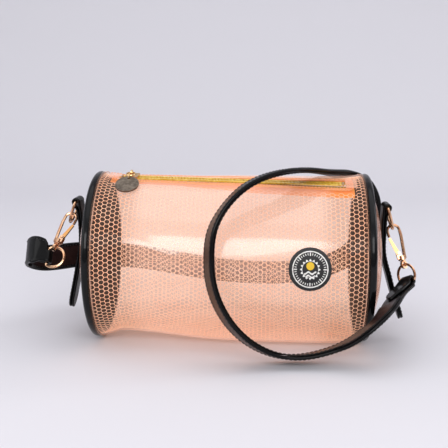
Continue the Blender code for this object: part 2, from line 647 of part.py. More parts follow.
def make_slider():
    """Slider, pull ring, link and round tag, each hanging in the one before it."""
    _, _, depth = zip_line()
    middle, axes = slider_middle()
    along, front, out = axes
    half, half_width = SLIDER_LENGTH / 2, SLIDER_WIDTH / 2
    shoulder = half / 2
    plate_low = TOOTH_HEIGHT + SLIDER_CLEAR
    plate_top = plate_low + SLIDER_PLATE
    drop = half_width ** 2 / END_RADIUS
    floor_top = depth - drop - FIT
    floor_low = floor_top - SLIDER_PLATE
    shield = [(half, -half_width), (half, half_width), (-shoulder, half_width),
              (-half, SLIDER_NOSE_WIDTH / 2), (-half, -SLIDER_NOSE_WIDTH / 2),
              (-shoulder, -half_width)]
    top = prism(shield, plate_low, plate_top, middle, axes)
    bottom = prism(shield, floor_low, floor_top, middle, axes)
    post_half = SLIDER_POST_WIDTH / 2
    post_outline = [(-half + FIT, -post_half), (-half + FIT + SLIDER_POST_LENGTH, -post_half),
                    (-half + FIT + SLIDER_POST_LENGTH, post_half), (-half + FIT, post_half)]
    post = prism(post_outline, floor_low + SLIDER_PLATE / 2, plate_low + SLIDER_PLATE / 2,
                 middle, axes)
    rails = []
    for sign in (1, -1):
        near, far = sign * (half_width - SLIDER_RAIL), sign * (half_width - FIT)
        rail = [(FIT - shoulder, near), (half - FIT, near), (half - FIT, far), (FIT - shoulder, far)]
        rails.append(prism(rail, 0, plate_low + SLIDER_PLATE / 2, middle, axes))
    hole_at = (LUG_FORWARD, plate_top + LUG_LIFT)
    neck = [(LUG_FORWARD - LUG_RADIUS, plate_top - SLIDER_PLATE / 2),
            (LUG_FORWARD + LUG_RADIUS, plate_top - SLIDER_PLATE / 2)]
    lug_outline = neck + circle(LUG_RADIUS, 11, hole_at, 0, math.pi)
    lug = prism(lug_outline, -LUG_THICK / 2, LUG_THICK / 2, middle, (front, out, along),
                [circle(LUG_HOLE, 12, hole_at)])
    combine("zip_slider", top, [bottom, post, *rails, lug], [], "zip_slider", middle)

    hole = middle + hole_at[0] * front + hole_at[1] * out
    reach = turned(front, along, PULL_RING_DROOP)
    if reach @ out > 0:
        reach = turned(front, along, -PULL_RING_DROOP)
    ring_centre = hole + PULL_RING_RADIUS * reach
    ring = [ring_centre + PULL_RING_RADIUS * (c * reach + s * along) for c, s in circle(1, 16)]
    ring_normal = np.cross(reach, along)
    pull_ring = tube(ring, PULL_RING_WIRE, 6, ring_normal, closed=True)
    add_object("pull_ring", pull_ring, "pull_ring", hole)

    wire_front = hole + 2 * PULL_RING_RADIUS * reach
    hang = front * math.cos(TAG_DROOP) - out * math.sin(TAG_DROOP)
    link_centre = wire_front + (LINK_RADIUS - LINK_WIRE - PULL_RING_WIRE - FIT) * hang
    up = np.cross(hang, along)
    link = [link_centre + LINK_RADIUS * (c * hang + s * up) for c, s in circle(1, 16)]
    add_object("pull_link", tube(link, LINK_WIRE, 6, along, closed=True), "pull_ring", wire_front)

    tag_hole = link_centre + LINK_RADIUS * hang
    disc = circle(TAG_DIAMETER / 2, 28, (TAG_HOLE_TO_CENTRE, 0))
    tag = prism(disc, -TAG_THICK / 2, TAG_THICK / 2, tag_hole, (hang, along, up),
                [circle(TAG_HOLE, 12)])
    add_object("pull_tag", tag, "pull_tag", tag_hole)


def badge_point(right, down, lift):
    """A point over the wall, measured from the badge's centre."""
    x = BADGE_X_SHARE * HALF_LENGTH + right
    return on_wall(x, BADGE_ANGLE + down / wall_at(x)[0], lift)


def badge_disc(radius, low, high, centre=(0, 0), hole=0.0, rings=4, segments=28):
    """A disc or a ring that follows the curve of the wall."""
    if hole > 0:
        loop = [(radius, low), (radius, high), (hole, high), (hole, low)]
    else:
        radii = [radius * k / rings for k in range(rings + 1)]
        loop = [(r, low) for r in radii] + [(r, high) for r in reversed(radii)]
    points, rows, faces = [], [], []
    for r, lift in loop:
        if r < TINY:
            rows.append([len(points)] * segments)
            points.append(badge_point(centre[0], centre[1], lift))
            continue
        rows.append(list(range(len(points), len(points) + segments)))
        points.extend(badge_point(centre[0] + r * c, centre[1] + r * s, lift)
                      for c, s in circle(1, segments))
    pairs = list(zip(rows, rows[1:])) + ([(rows[-1], rows[0])] if hole > 0 else [])
    for a, b in pairs:
        for j in range(segments):
            nxt = (j + 1) % segments
            corners = []
            for i in (a[j], a[nxt], b[nxt], b[j]):
                if i not in corners:
                    corners.append(i)
            if len(corners) > 2:
                faces.append(tuple(corners))
    return points, faces


def make_badge():
    """Round rubber badge with a rim line, a small sun and two waves."""
    add_object("badge_base", badge_disc(BADGE_RADIUS, FIT, FIT + BADGE_THICK), "badge_base")
    low = FIT + BADGE_THICK + FIT
    high = low + BADGE_RELIEF
    rim = badge_disc(BADGE_RING_RADIUS, low, high, hole=BADGE_RING_RADIUS - BADGE_RING_WIDTH)
    add_object("badge_ring", rim, "badge_ring")
    sun = badge_disc(SUN_RADIUS, low, high, centre=(0, -SUN_RISE), rings=2, segments=16)
    add_object("badge_sun", sun, "badge_emblem")
    for name, fall in zip(("upper", "lower"), WAVE_FALLS):
        length = WAVE_LENGTH * (1 - fall / BADGE_RING_RADIUS)
        rows = [length * (k / 12 - 1 / 2) for k in range(13)]
        grids = []
        falls = [fall + WAVE_SWING * math.sin(2 * TURN * x / WAVE_LENGTH) for x in rows]
        for lift in (high, low):
            grids.append([[badge_point(x, middle - WAVE_WIDTH / 2, lift),
                           badge_point(x, middle + WAVE_WIDTH / 2, lift)]
                          for x, middle in zip(rows, falls)])
        add_object(f"badge_wave_{name}", skin(grids[0], grids[1], False), "badge_emblem")


def roll_centre(side):
    """Centre of the roll at the top of a tab, on the D-ring's bar."""
    return np.array([SIDES[side] * (HALF_LENGTH + ROLL_OUT[side]), 0,
                     BAG_DIAMETER * ROLL_HEIGHT_SHARE[side]])


def smooth_through(points, count):
    """Points on a smooth curve through the given ones, by chord length."""
    points = [np.array(p, float) for p in points]
    marks = [0.0]
    for a, b in zip(points, points[1:]):
        marks.append(marks[-1] + np.linalg.norm(b - a))
    rows = [np.concatenate([[mark], point]) for mark, point in zip(marks, points)]
    return [read_table(rows, marks[-1] * k / (count - 1))[1:] for k in range(count)]


def make_tab(side):
    """A strip folded in two over the D-ring's bar, hanging down past the end disc."""
    sign = SIDES[side]
    roll = roll_centre(side)
    radius = TAB_ROLL_INNER + LEATHER / 2
    dome = HALF_LENGTH - END_FILM_SEAT + END_FILM_RISE
    inner = []
    for out_share, height_share in zip(TAB_OUT_SHARES, TAB_HEIGHT_SHARES[side]):
        x = dome + FIT + TAB_REACH[side] * out_share + LEATHER / 2
        inner.append(np.array([sign * x, 0, BAG_DIAMETER * height_share]))
    first = [roll + np.array([-sign * radius, 0, 0])] + inner
    run = smooth_through(first, 15)
    across = np.array([0, 1, 0])
    stations = []
    lengths = [0.0]
    for a, b in zip(run, run[1:]):
        lengths.append(lengths[-1] + np.linalg.norm(b - a))
    total = lengths[-1]

    def half_width(mark):
        left = min((total - mark) / TAB_TIP, 1)
        return TAB_HALF_WIDTH * max(math.sqrt(1 - (1 - left) ** 2), TAB_TIP_SHARE)

    faces = []
    for k, point in enumerate(run):
        ahead, behind = run[min(k + 1, len(run) - 1)], run[max(k - 1, 0)]
        down = unit(ahead - behind)
        outward = sign * np.cross(across, down) * -1
        faces.append(outward if outward[0] * sign > 0 else -outward)
    for k in reversed(range(len(run))):
        stations.append((run[k], across, faces[k], half_width(lengths[k]), LEATHER / 2))
    for k in range(1, 9):
        angle = math.pi * k / 9
        away = np.array([-sign * math.cos(angle), 0, math.sin(angle)])
        stations.append((roll + radius * away, across, -away, TAB_HALF_WIDTH, LEATHER / 2))
    gap = LEATHER + FIT
    for k in range(len(run)):
        settle = ease(lengths[k] / (radius * TAB_SETTLE_SHARE))
        apart = 2 * radius + (gap - 2 * radius) * settle
        face = unit(np.array([sign, 0, 0]) * (1 - settle) + faces[k] * settle)
        outer = run[k] + apart * face
        stations.append((outer, across, -faces[k], half_width(lengths[k]), LEATHER / 2))
    add_object(f"tab_{side}", ribbon(stations, LEATHER / 4), "tab")


def clip_frame(side):
    """Places and directions of the D-ring, hook, stud eye and strap ring on one side."""
    sign = SIDES[side]
    lean = DRING_LEAN[side]
    roll = roll_centre(side)
    hang = np.array([sign * math.sin(lean), 0, -math.cos(lean)])
    seat = HOOK_SEAT[side]
    bow = DRING_DEPTH - DRING_CORNER
    wire = roll + np.array([0, DRING_HALF * math.cos(seat), 0])
    wire = wire + (DRING_CORNER + bow * math.sin(seat)) * hang
    up = unit(HOOK_AXIS[side])
    base = wire - HOOK_HANG[side] * up
    outward = square_to((sign, 0, 0), up)
    through = np.cross(up, outward)
    eye = base - EYE_DROP * up
    bar = unit(RING_BAR[side])
    to_eye = square_to(RING_TO_EYE[side], bar) if side == "right" else unit(RING_TO_EYE[side])
    if side == "right":
        to_bar = -to_eye
    else:
        normal = unit(np.cross((-1, 0, 0), bar))
        to_eye = square_to(to_eye, normal)
        to_bar = np.cross(bar, normal)
        to_bar = to_bar if to_bar[0] < 0 else -to_bar
    ring_along = np.cross(np.cross(to_eye, to_bar), to_eye) if side == "left" else bar
    centre = eye - STRAP_RING_RADIUS * to_eye
    chord = math.sqrt(STRAP_RING_RADIUS ** 2 - STRAP_RING_BAR_HALF ** 2)
    return {"roll": roll, "hang": hang, "wire": wire, "base": base, "up": up, "outward": outward,
            "through": through, "eye": eye, "bar": bar, "to_eye": to_eye, "to_bar": to_bar,
            "ring_along": ring_along, "ring_centre": centre,
            "bar_centre": centre + chord * to_bar, "chord": chord}


def make_d_ring(side):
    place = clip_frame(side)
    across = np.array([0, 1, 0])
    straight = DRING_HALF - DRING_CORNER
    path = [(-straight, 0), (-straight / 3, 0), (straight / 3, 0)]
    path += circle(DRING_CORNER, 4, (straight, DRING_CORNER), -math.pi / 2, math.pi / 2)[:-1]
    deep = DRING_DEPTH - DRING_CORNER
    bow = [(DRING_HALF * c, DRING_CORNER + deep * s) for c, s in circle(1, 17, sweep=math.pi)]
    path += bow
    path += circle(DRING_CORNER, 4, (-straight, DRING_CORNER), math.pi, math.pi / 2)[1:-1]
    points = [place["roll"] + a * across + b * place["hang"] for a, b in path]
    normal = np.cross(across, place["hang"])
    ring = tube(points, DRING_WIRE, 8, normal, closed=True)
    add_object(f"d_ring_{side}", ring, "gold", place["roll"])


def make_hook(side):
    """Snap hook frame, gate with its rivet, and the swivel stud below it."""
    place = clip_frame(side)
    base, axes = place["base"], (place["outward"], place["up"], place["through"])
    up, through = place["up"], place["through"]
    centre = (0, HOOK_ARCH_HEIGHT)
    arm = [(HOOK_ARM_FOOT, 0), (HOOK_ARM_SHOULDER, HOOK_BARREL_HEAD),
           ((HOOK_ARM_FOOT + HOOK_ARCH_RADIUS) / 2, HOOK_ARM_MIDDLE),
           (HOOK_ARCH_RADIUS, HOOK_ARM_TOP)]
    arch = circle(HOOK_ARCH_RADIUS, 13, centre, 0, math.pi)
    nose = [(-HOOK_ARCH_RADIUS, HOOK_NOSE_HEIGHT)]
    path = arm + arch + nose
    radii = [HOOK_FOOT_WIRE] * len(arm) + [HOOK_WIRE] * (len(arch) + len(nose))
    frame = tube(placed([(a, b, 0) for a, b in path], base, axes), radii, 8, through)
    barrel_profile = [(-HOOK_BARREL_FOOT, 0), (-HOOK_BARREL_FOOT, HOOK_BARREL_RADIUS - FIT),
                      (-HOOK_BARREL_FOOT + FIT, HOOK_BARREL_RADIUS),
                      (HOOK_BARREL_HEAD - FIT, HOOK_BARREL_RADIUS),
                      (HOOK_BARREL_HEAD, HOOK_BARREL_RADIUS - FIT), (HOOK_BARREL_HEAD, 0)]
    barrel = lathe(barrel_profile, base, up, 16)
    cheeks = []
    inner = GATE_THICK / 2 + FIT
    ear_radius = RIVET_HEAD + FIT
    rivet_at = (-GATE_PIVOT_BACK, GATE_PIVOT_HEIGHT)
    for sign in (1, -1):
        outline = circle(ear_radius, 9, rivet_at, 0, math.pi)
        outline += [(rivet_at[0] - ear_radius, HOOK_SHOULDER),
                    (rivet_at[0] + ear_radius, HOOK_SHOULDER)]
        low, high = sorted((sign * inner, sign * (inner + CHEEK_THICK)))
        cheeks.append(prism(outline, low, high, base, axes,
                            [circle(RIVET_RADIUS + FIT, 10, rivet_at)]))
    bore = lathe([(-HOOK_BARREL_FOOT - FIT, 0), (-HOOK_BARREL_FOOT - FIT, HOOK_BORE),
                  (HOOK_SHOULDER, HOOK_BORE), (HOOK_SHOULDER, HOOK_COUNTERBORE),
                  (HOOK_BARREL_HEAD + FIT, HOOK_COUNTERBORE), (HOOK_BARREL_HEAD + FIT, 0)],
                 base, up, 12)
    combine(f"hook_frame_{side}", frame, [barrel, *cheeks], [bore], "gold", base)

    pivot = base + rivet_at[0] * axes[0] + rivet_at[1] * axes[1]
    tip = np.array([-HOOK_ARCH_RADIUS, HOOK_NOSE_HEIGHT - GATE_TIP])
    heel = np.array(rivet_at)
    run = unit(tip - heel)
    cross = np.array([run[1], -run[0]])
    start = math.atan2(cross[1], cross[0])
    outline = circle(GATE_HEEL, 9, rivet_at, start - math.pi, math.pi)
    outline += [tuple(tip + GATE_TIP * cross), tuple(tip - GATE_TIP * cross)]
    gate = prism(outline, -GATE_THICK / 2, GATE_THICK / 2, base, axes,
                 [circle(RIVET_RADIUS + FIT, 10, rivet_at)])
    add_object(f"hook_gate_{side}", gate, "gold", pivot)

    grip = inner + CHEEK_THICK + FIT
    pin = [(-grip - RIVET_HEAD_THICK, 0), (-grip - RIVET_HEAD_THICK, RIVET_HEAD - FIT),
           (-grip, RIVET_HEAD), (-grip, RIVET_RADIUS), (grip, RIVET_RADIUS), (grip, RIVET_HEAD),
           (grip + RIVET_HEAD_THICK, RIVET_HEAD - FIT), (grip + RIVET_HEAD_THICK, 0)]
    add_object(f"hook_rivet_{side}", lathe(pin, pivot, through, 12), "gold", pivot)

    head_low = HOOK_SHOULDER + FIT
    head_top = head_low + STUD_HEAD_THICK
    collar_top = -HOOK_BARREL_FOOT - FIT
    stud = lathe([(-EYE_DROP + EYE_RADIUS - FIT, 0), (-EYE_DROP + EYE_RADIUS - FIT, STUD_RADIUS),
                  (collar_top - COLLAR_THICK / 2, COLLAR_FOOT_RADIUS),
                  (collar_top - COLLAR_THICK / 4, COLLAR_RADIUS), (collar_top, COLLAR_RADIUS),
                  (collar_top, STUD_RADIUS), (head_low, STUD_RADIUS), (head_low, STUD_HEAD_RADIUS),
                  (head_top, STUD_HEAD_RADIUS), (head_top, 0)], base, up, 12)
    tangent = square_to(place["ring_along"], up)
    eye = lathe([(-EYE_THICK / 2, EYE_HOLE), (-EYE_THICK / 2, EYE_RADIUS),
                 (EYE_THICK / 2, EYE_RADIUS), (EYE_THICK / 2, EYE_HOLE)],
                place["eye"], tangent, 16, closed=True)
    combine(f"swivel_stud_{side}", eye, [stud], [], "gold", place["eye"])


def make_strap_ring(side):
    """Round ring with one flat side that the strap is folded over."""
    place = clip_frame(side)
    half = math.asin(STRAP_RING_BAR_HALF / STRAP_RING_RADIUS)
    arc = circle(STRAP_RING_RADIUS, 22, start=half, sweep=TURN - 2 * half)
    bar_x = place["chord"]
    straight = [(bar_x, STRAP_RING_BAR_HALF * k / 3) for k in (-2, -1, 0, 1, 2)]
    path = arc + straight
    points = [place["ring_centre"] + a * place["to_bar"] + b * place["bar"] for a, b in path]
    normal = np.cross(place["to_bar"], place["bar"])
    ring = tube(points, STRAP_RING_WIRE, 8, normal, closed=True)
    add_object(f"strap_ring_{side}", ring, "gold", place["bar_centre"])


def spline(points, step):
    """A smooth curve through points of any dimension, read at about even steps of its place."""
    points = np.array(points, float)
    chords = np.linalg.norm(np.diff(points[:, :3], axis=0), axis=1)
    marks = np.concatenate([[0], np.cumsum(chords)])
    count = len(marks)
    matrix, right = np.zeros((count, count)), np.zeros((count, points.shape[1]))
    matrix[0, 0] = matrix[-1, -1] = 1
    for k in range(1, count - 1):
        before, after = marks[k] - marks[k - 1], marks[k + 1] - marks[k]
        matrix[k, k - 1:k + 2] = before, 2 * (before + after), after
        right[k] = 6 * ((points[k + 1] - points[k]) / after - (points[k] - points[k - 1]) / before)
    bend = np.linalg.solve(matrix, right)
    result = []
    samples = max(int(round(marks[-1] / step)), 2)
    for mark in np.linspace(0, marks[-1], samples + 1):
        k = min(int(np.searchsorted(marks, mark, side="right")) - 1, count - 2)
        span = marks[k + 1] - marks[k]
        a, b = (marks[k + 1] - mark) / span, (mark - marks[k]) / span
        result.append(a * points[k] + b * points[k + 1]
                      + ((a ** 3 - a) * bend[k] + (b ** 3 - b) * bend[k + 1]) * span ** 2 / 6)
    return result


def strap_stations():
    """Centres, width and face directions of the strap's main run, from right ring to left ring."""
    ends = {}
    scale = np.array([HALF_LENGTH, END_RADIUS, END_RADIUS])
    route = [(np.array(place) * scale, unit(across)) for place, across in STRAP_ROUTE_SHARES]
    turn = STRAP_RING_WIRE + FIT + FIT / 2 + STRAP_THICK / 2
    for side, neighbour, sign in (("right", route[0][0], 1), ("left", route[-1][0], -1)):
        place = clip_frame(side)
        along = sign * square_to(neighbour - place["bar_centre"], place["bar"])
        face = np.cross(along, place["bar"])
        ends[side] = (place["bar_centre"], place["bar"], along, face, turn)
    rows = [np.concatenate([ends["right"][0] - turn * ends["right"][3], ends["right"][1]])]
    rows += [np.concatenate([place, across]) for place, across in route]
    rows.append(np.concatenate([ends["left"][0] - turn * ends["left"][3], ends["left"][1]]))
    line = spline(rows, STRAP_STEP)
    stations, length = [], 0.0
    for k, row in enumerate(line):
        ahead, behind = line[min(k + 1, len(line) - 1)], line[max(k - 1, 0)]
        along = unit(ahead[:3] - behind[:3])
        if k == 0:
            along = ends["right"][2]
        if k == len(line) - 1:
            along = ends["left"][2]
        across = square_to(row[3:], along)
        if k:
            length += np.linalg.norm(row[:3] - line[k - 1][:3])
        stations.append((row[:3], across, np.cross(along, across), length))
    return stations, ends, length


def make_strap():
    """The leather with its folded ends, and the brown lining on its inner side."""
    stations, ends, length = strap_stations()
    half_thick = STRAP_THICK / 2
    full, fold = STRAP_WIDTH / 2, STRAP_FOLD_WIDTH / 2

    def main_half(mark):
        near = min(mark, length - mark)
        return fold + (full - fold) * ease(near / STRAP_TAPER)

    def tongue(side):
        """Stations of a folded-back end, from the ring's bar to its tip."""
        order = stations if side == "right" else stations[::-1]
        turn = ends[side][4]
        result = []
        for centre, across, face, mark in order:
            away = mark if side == "right" else length - mark
            if away > TONGUE_LENGTH:
                break
            closed = STRAP_THICK + FIT
            apart = closed + (2 * turn - closed) * (1 - ease(away / TONGUE_SETTLE))
            half = fold + (TONGUE_WIDTH / 2 - fold) * ease(away / STRAP_TAPER)
            left = TONGUE_LENGTH - away
            if left < TONGUE_TIP_LENGTH:
                tip = TONGUE_TIP_WIDTH / 2
                half = tip + (half - tip) * left / TONGUE_TIP_LENGTH
            result.append((centre + apart * face, across, face, half, half_thick))
        return result

    def bend(side):
        """Stations round the ring's bar, from the tongue to the main run."""
        bar_centre, across, along, face, turn = ends[side]
        away = -along if side == "right" else along
        result = []
        for k in range(1, 6):
            angle = math.pi * k / 6
            spoke = math.cos(angle) * face + math.sin(angle) * away
            result.append((bar_centre + turn * spoke, across, spoke, fold, half_thick))
        return result

    band = tongue("right")[::-1] + bend("right")
    band += [(centre, across, -face, main_half(mark), half_thick)
             for centre, across, face, mark in stations]
    band += bend("left")[::-1] + tongue("left")
    add_object("strap_leather", ribbon(band, STRAP_CHAMFER), "strap_leather")

    lift = half_thick + FIT + STRAP_LINING_THICK / 2
    start = TONGUE_LENGTH + LINING_GAP
    lining = []
    for centre, across, face, mark in stations:
        if start < mark < length - start:
            half = main_half(mark) - STRAP_LINING_MARGIN
            lining.append((centre + lift * face, across, face, half, STRAP_LINING_THICK / 2))
    add_object("strap_lining", ribbon(lining, 0), "strap_lining")


def main():
    for existing in list(bpy.data.objects):
        bpy.data.objects.remove(existing)
    make_wall()
    make_zip()
    make_slider()
    make_badge()
    for side in SIDES:
        make_end(side)
        make_tab(side)
        make_d_ring(side)
        make_hook(side)
        make_strap_ring(side)
    make_strap()


main()
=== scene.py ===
"""A clear barrel shoulder bag with a net lining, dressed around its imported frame."""

import math
import bmesh
import bpy
import numpy as np
from mathutils import Matrix, Vector


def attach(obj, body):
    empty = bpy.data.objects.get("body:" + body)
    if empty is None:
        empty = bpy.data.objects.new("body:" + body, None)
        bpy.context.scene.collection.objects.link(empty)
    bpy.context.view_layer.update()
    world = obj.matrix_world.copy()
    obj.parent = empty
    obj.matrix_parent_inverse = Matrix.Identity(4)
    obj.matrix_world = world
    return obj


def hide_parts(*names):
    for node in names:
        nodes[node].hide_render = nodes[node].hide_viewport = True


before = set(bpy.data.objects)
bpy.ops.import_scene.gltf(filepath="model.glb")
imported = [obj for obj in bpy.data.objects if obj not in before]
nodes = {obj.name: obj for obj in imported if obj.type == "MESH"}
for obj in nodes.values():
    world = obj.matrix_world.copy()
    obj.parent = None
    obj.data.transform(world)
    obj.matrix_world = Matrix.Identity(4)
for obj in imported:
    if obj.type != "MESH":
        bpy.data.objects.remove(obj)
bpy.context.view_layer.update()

# Camera: where the picture was taken from, a little above the bag and just right of its middle,
# with a short telephoto lens held almost level.
EYE = np.array([0.0235, -0.581, 0.1817])
EYE_AZIMUTH, EYE_ELEVATION, EYE_ROLL = math.radians(2.85), math.radians(9.6), math.radians(0.3)
LENS, NEAR_LIMIT = 65.35, 0.01


def unit(vector):
    return np.array(vector, float) / np.linalg.norm(vector)


back = np.array([math.sin(EYE_AZIMUTH) * math.cos(EYE_ELEVATION),
                 -math.cos(EYE_AZIMUTH) * math.cos(EYE_ELEVATION), math.sin(EYE_ELEVATION)])
level = unit(np.cross((0, 0, 1), back))
upright = np.cross(back, level)
across_view = level * math.cos(EYE_ROLL) + upright * math.sin(EYE_ROLL)
up_view = upright * math.cos(EYE_ROLL) - level * math.sin(EYE_ROLL)


def stand(thing, across, up, away, place):
    """Puts a camera or a lamp at a place, looking back along the direction away."""
    thing.matrix_world = Matrix([[across[k], up[k], away[k], place[k]] for k in range(3)]
                                + [[0, 0, 0, 1]])
    bpy.context.scene.collection.objects.link(thing)


camera = bpy.data.objects.new("camera", bpy.data.cameras.new("camera"))
camera.data.lens = LENS
camera.data.clip_start = NEAR_LIMIT
stand(camera, across_view, up_view, back, EYE)
bpy.context.scene.camera = camera
bpy.context.scene.view_settings.view_transform = "Standard"


# Studio: a pale sweep of card that runs from under the bag up behind it, with one broad soft lamp
# overhead, a long soft one in front that draws the streaks on the clear film, and one at each side.
class Wire:
    """One output of a node. Sums written on it add Math nodes to its tree."""

    def __init__(self, tree, socket):
        self.tree, self.socket = tree, socket

    def __getitem__(self, name):
        return Wire(self.tree, self.socket.node.outputs[name])

    def __add__(self, other):
        return self.tree.maths("ADD", self, other)

    def __radd__(self, other):
        return self.tree.maths("ADD", other, self)

    def __sub__(self, other):
        return self.tree.maths("SUBTRACT", self, other)

    def __rsub__(self, other):
        return self.tree.maths("SUBTRACT", other, self)

    def __mul__(self, other):
        return self.tree.maths("MULTIPLY", self, other)

    def __rmul__(self, other):
        return self.tree.maths("MULTIPLY", other, self)


class Tree:
    """A node tree that is written one node at a time."""

    def __init__(self, tree):
        self.tree = tree

    def node(self, kind, settings=None, sockets=None, output=0):
        made = self.tree.nodes.new(kind)
        for name, value in (settings or {}).items():
            setattr(made, name, value)
        for name, value in (sockets or {}).items():
            self.feed(made.inputs[name], value)
        return Wire(self, made.outputs[output]) if made.outputs else made

    def feed(self, socket, value):
        if isinstance(value, Wire):
            self.tree.links.new(value.socket, socket)
        else:
            socket.default_value = value

    def maths(self, operation, *values):
        return self.node("ShaderNodeMath", {"operation": operation}, dict(enumerate(values)))

    def blend(self, share, first, second):
        return self.node("ShaderNodeMix", {"data_type": "RGBA"}, {0: share, 6: first, 7: second}, 2)

    def ramp(self, value, low, high):
        """Nought below low, one above high and a smooth rise between."""
        return self.node("ShaderNodeMapRange", {"interpolation_type": "SMOOTHSTEP"},
                         {"Value": value, "From Min": low, "From Max": high})


def colour(red, green, blue):
    """A colour as it shows on screen, from 0 to 255, made linear."""
    shares = [value / 255 for value in (red, green, blue)]
    return tuple(s / 12.92 if s <= 0.04045 else ((s + 0.055) / 1.055) ** 2.4 for s in shares) + (1,)


class Finish(Tree):
    """A material whose plain values sit on its Principled shader."""

    def __init__(self, name, base, **plain):
        self.material = bpy.data.materials.new(name)
        self.material.use_nodes = True
        super().__init__(self.material.node_tree)
        self.shader = self.tree.nodes["Principled BSDF"]
        self.place = self.node("ShaderNodeTexCoord", output="Object")
        self.set("Base Color", base)
        for key, value in plain.items():
            self.set(key.replace("_", " ").title().replace("Ior", "IOR"), value)

    def set(self, socket, value):
        self.feed(self.shader.inputs[socket], value)

    def noise(self, scale, detail=2.0, stretch=(1, 1, 1)):
        where = self.node("ShaderNodeMapping", {}, {"Vector": self.place, "Scale": stretch})
        return self.node("ShaderNodeTexNoise", {}, {"Vector": where, "Scale": scale, "Detail": detail})

    def cells(self, scale, feature="DISTANCE_TO_EDGE"):
        return self.node("ShaderNodeTexVoronoi", {"feature": feature},
                         {"Vector": self.place, "Scale": scale})

    def bump(self, height, distance, strength=1.0):
        self.set("Normal", self.node("ShaderNodeBump", {}, {
            "Height": height, "Distance": distance, "Strength": strength}))

    def mottle(self, scale, low, high, first, second):
        """Colours the surface in two tones that a soft noise mixes."""
        self.set("Base Color", self.blend(self.ramp(self.noise(scale), low, high), first, second))

    def split(self, place=None):
        parts = self.node("ShaderNodeSeparateXYZ", {}, {"Vector": place or self.place})
        return parts["X"], parts["Y"], parts["Z"]


def add_mesh(name, points, faces, finish=None, uvs=None, smooth=True):
    """A mesh object at the origin, with faces pointing outwards as they are given."""
    mesh = bpy.data.meshes.new(name)
    mesh.from_pydata([tuple(map(float, p)) for p in points], [], faces)
    if uvs is not None:
        layer = mesh.uv_layers.new(name="UVMap")
        corners = np.empty(len(mesh.loops), dtype=np.int32)
        mesh.loops.foreach_get("vertex_index", corners)
        layer.data.foreach_set("uv", np.array(uvs, dtype=np.float32)[corners].ravel())
    if smooth and faces:
        mesh.shade_smooth()
    if finish:
        mesh.materials.append(finish.material)
    made = bpy.data.objects.new(name, mesh)
    bpy.context.scene.collection.objects.link(made)
    return made


SWEEP_WIDTH, SWEEP_FRONT, SWEEP_BACK, SWEEP_RISE, SWEEP_CURVE = 6.0, -2.4, 1.5, 2.6, 0.7
SWEEP_STEPS, SWEEP_FADE = 24, (0.1, 1.4)
ROOM_COLOUR, ROOM_LOW, ROOM_GAIN, ROOM_FADE = (0.93, 0.94, 1.0, 1), 0.20, 0.50, (-0.1, 0.4)
ROOM_BACK_SHARE = 0.35        # how much the room brightens towards the back, beside upwards
card = Finish("card", colour(221, 218, 223), roughness=0.9, specular_ior_level=0.1)
# The card is painted a little lighter towards the back where it rises: painted light that sets how bright
# the sweep shows.
card_back = card.split()[1]
card.set("Base Color", card.blend(card.ramp(card_back, *SWEEP_FADE), colour(221, 219, 224),
                                  colour(229, 227, 232)))
outline = [(SWEEP_FRONT, 0.0), (SWEEP_BACK - SWEEP_CURVE, 0.0)]
outline += [(SWEEP_BACK - SWEEP_CURVE * (1 - math.sin(a)), SWEEP_CURVE * (1 - math.cos(a)))
            for a in np.linspace(0, math.pi / 2, SWEEP_STEPS)[1:]]
outline.append((SWEEP_BACK, SWEEP_RISE))
sweep_points = [(x, y, z) for y, z in outline for x in (-SWEEP_WIDTH / 2, SWEEP_WIDTH / 2)]
sweep_faces = [(2 * k, 2 * k + 1, 2 * k + 3, 2 * k + 2) for k in range(len(outline) - 1)]
sweep = add_mesh("sweep", sweep_points, sweep_faces, card)

world = bpy.data.worlds.new("studio")
world.use_nodes = True
room = Tree(world.node_tree)
toward = room.node("ShaderNodeSeparateXYZ", {}, {
    "Vector": room.node("ShaderNodeTexCoord", output="Generated")})
backdrop = world.node_tree.nodes["Background"]
room.feed(backdrop.inputs["Color"], ROOM_COLOUR)
room.feed(backdrop.inputs["Strength"], ROOM_LOW + ROOM_GAIN * room.ramp(
    toward["Z"] + ROOM_BACK_SHARE * toward["Y"], *ROOM_FADE))
bpy.context.scene.world = world

STEEP = 0.9                   # a lamp that looks down more steeply is set by another axis
LAMPS = {  # place, aim, width, depth, watts
    "overhead": ((0.1, -0.1, 1.4), (0, 0, 0.06), 1.9, 1.4, 6.5),
    "front": ((0.1, -1.5, 0.85), (0.0, 0, 0.07), 1.6, 0.6, 15.0),
    "left": ((-1.5, -0.5, 0.6), (-0.05, 0, 0.06), 1.1, 0.9, 3.8),
    "right": ((1.4, 0.3, 0.7), (0.05, 0, 0.06), 0.4, 0.9, 3.5)}
for name, (place, aim, width, depth, watts) in LAMPS.items():
    lamp = bpy.data.lights.new(name, "AREA")
    lamp.shape = "RECTANGLE"
    lamp.size, lamp.size_y, lamp.energy = width, depth, watts
    holder = bpy.data.objects.new(name, lamp)
    away = unit(np.array(place, float) - np.array(aim, float))
    side = unit(np.cross((0, 1, 0) if abs(away[2]) > STEEP else (0, 0, 1), away))
    stand(holder, side, np.cross(away, side), away, place)

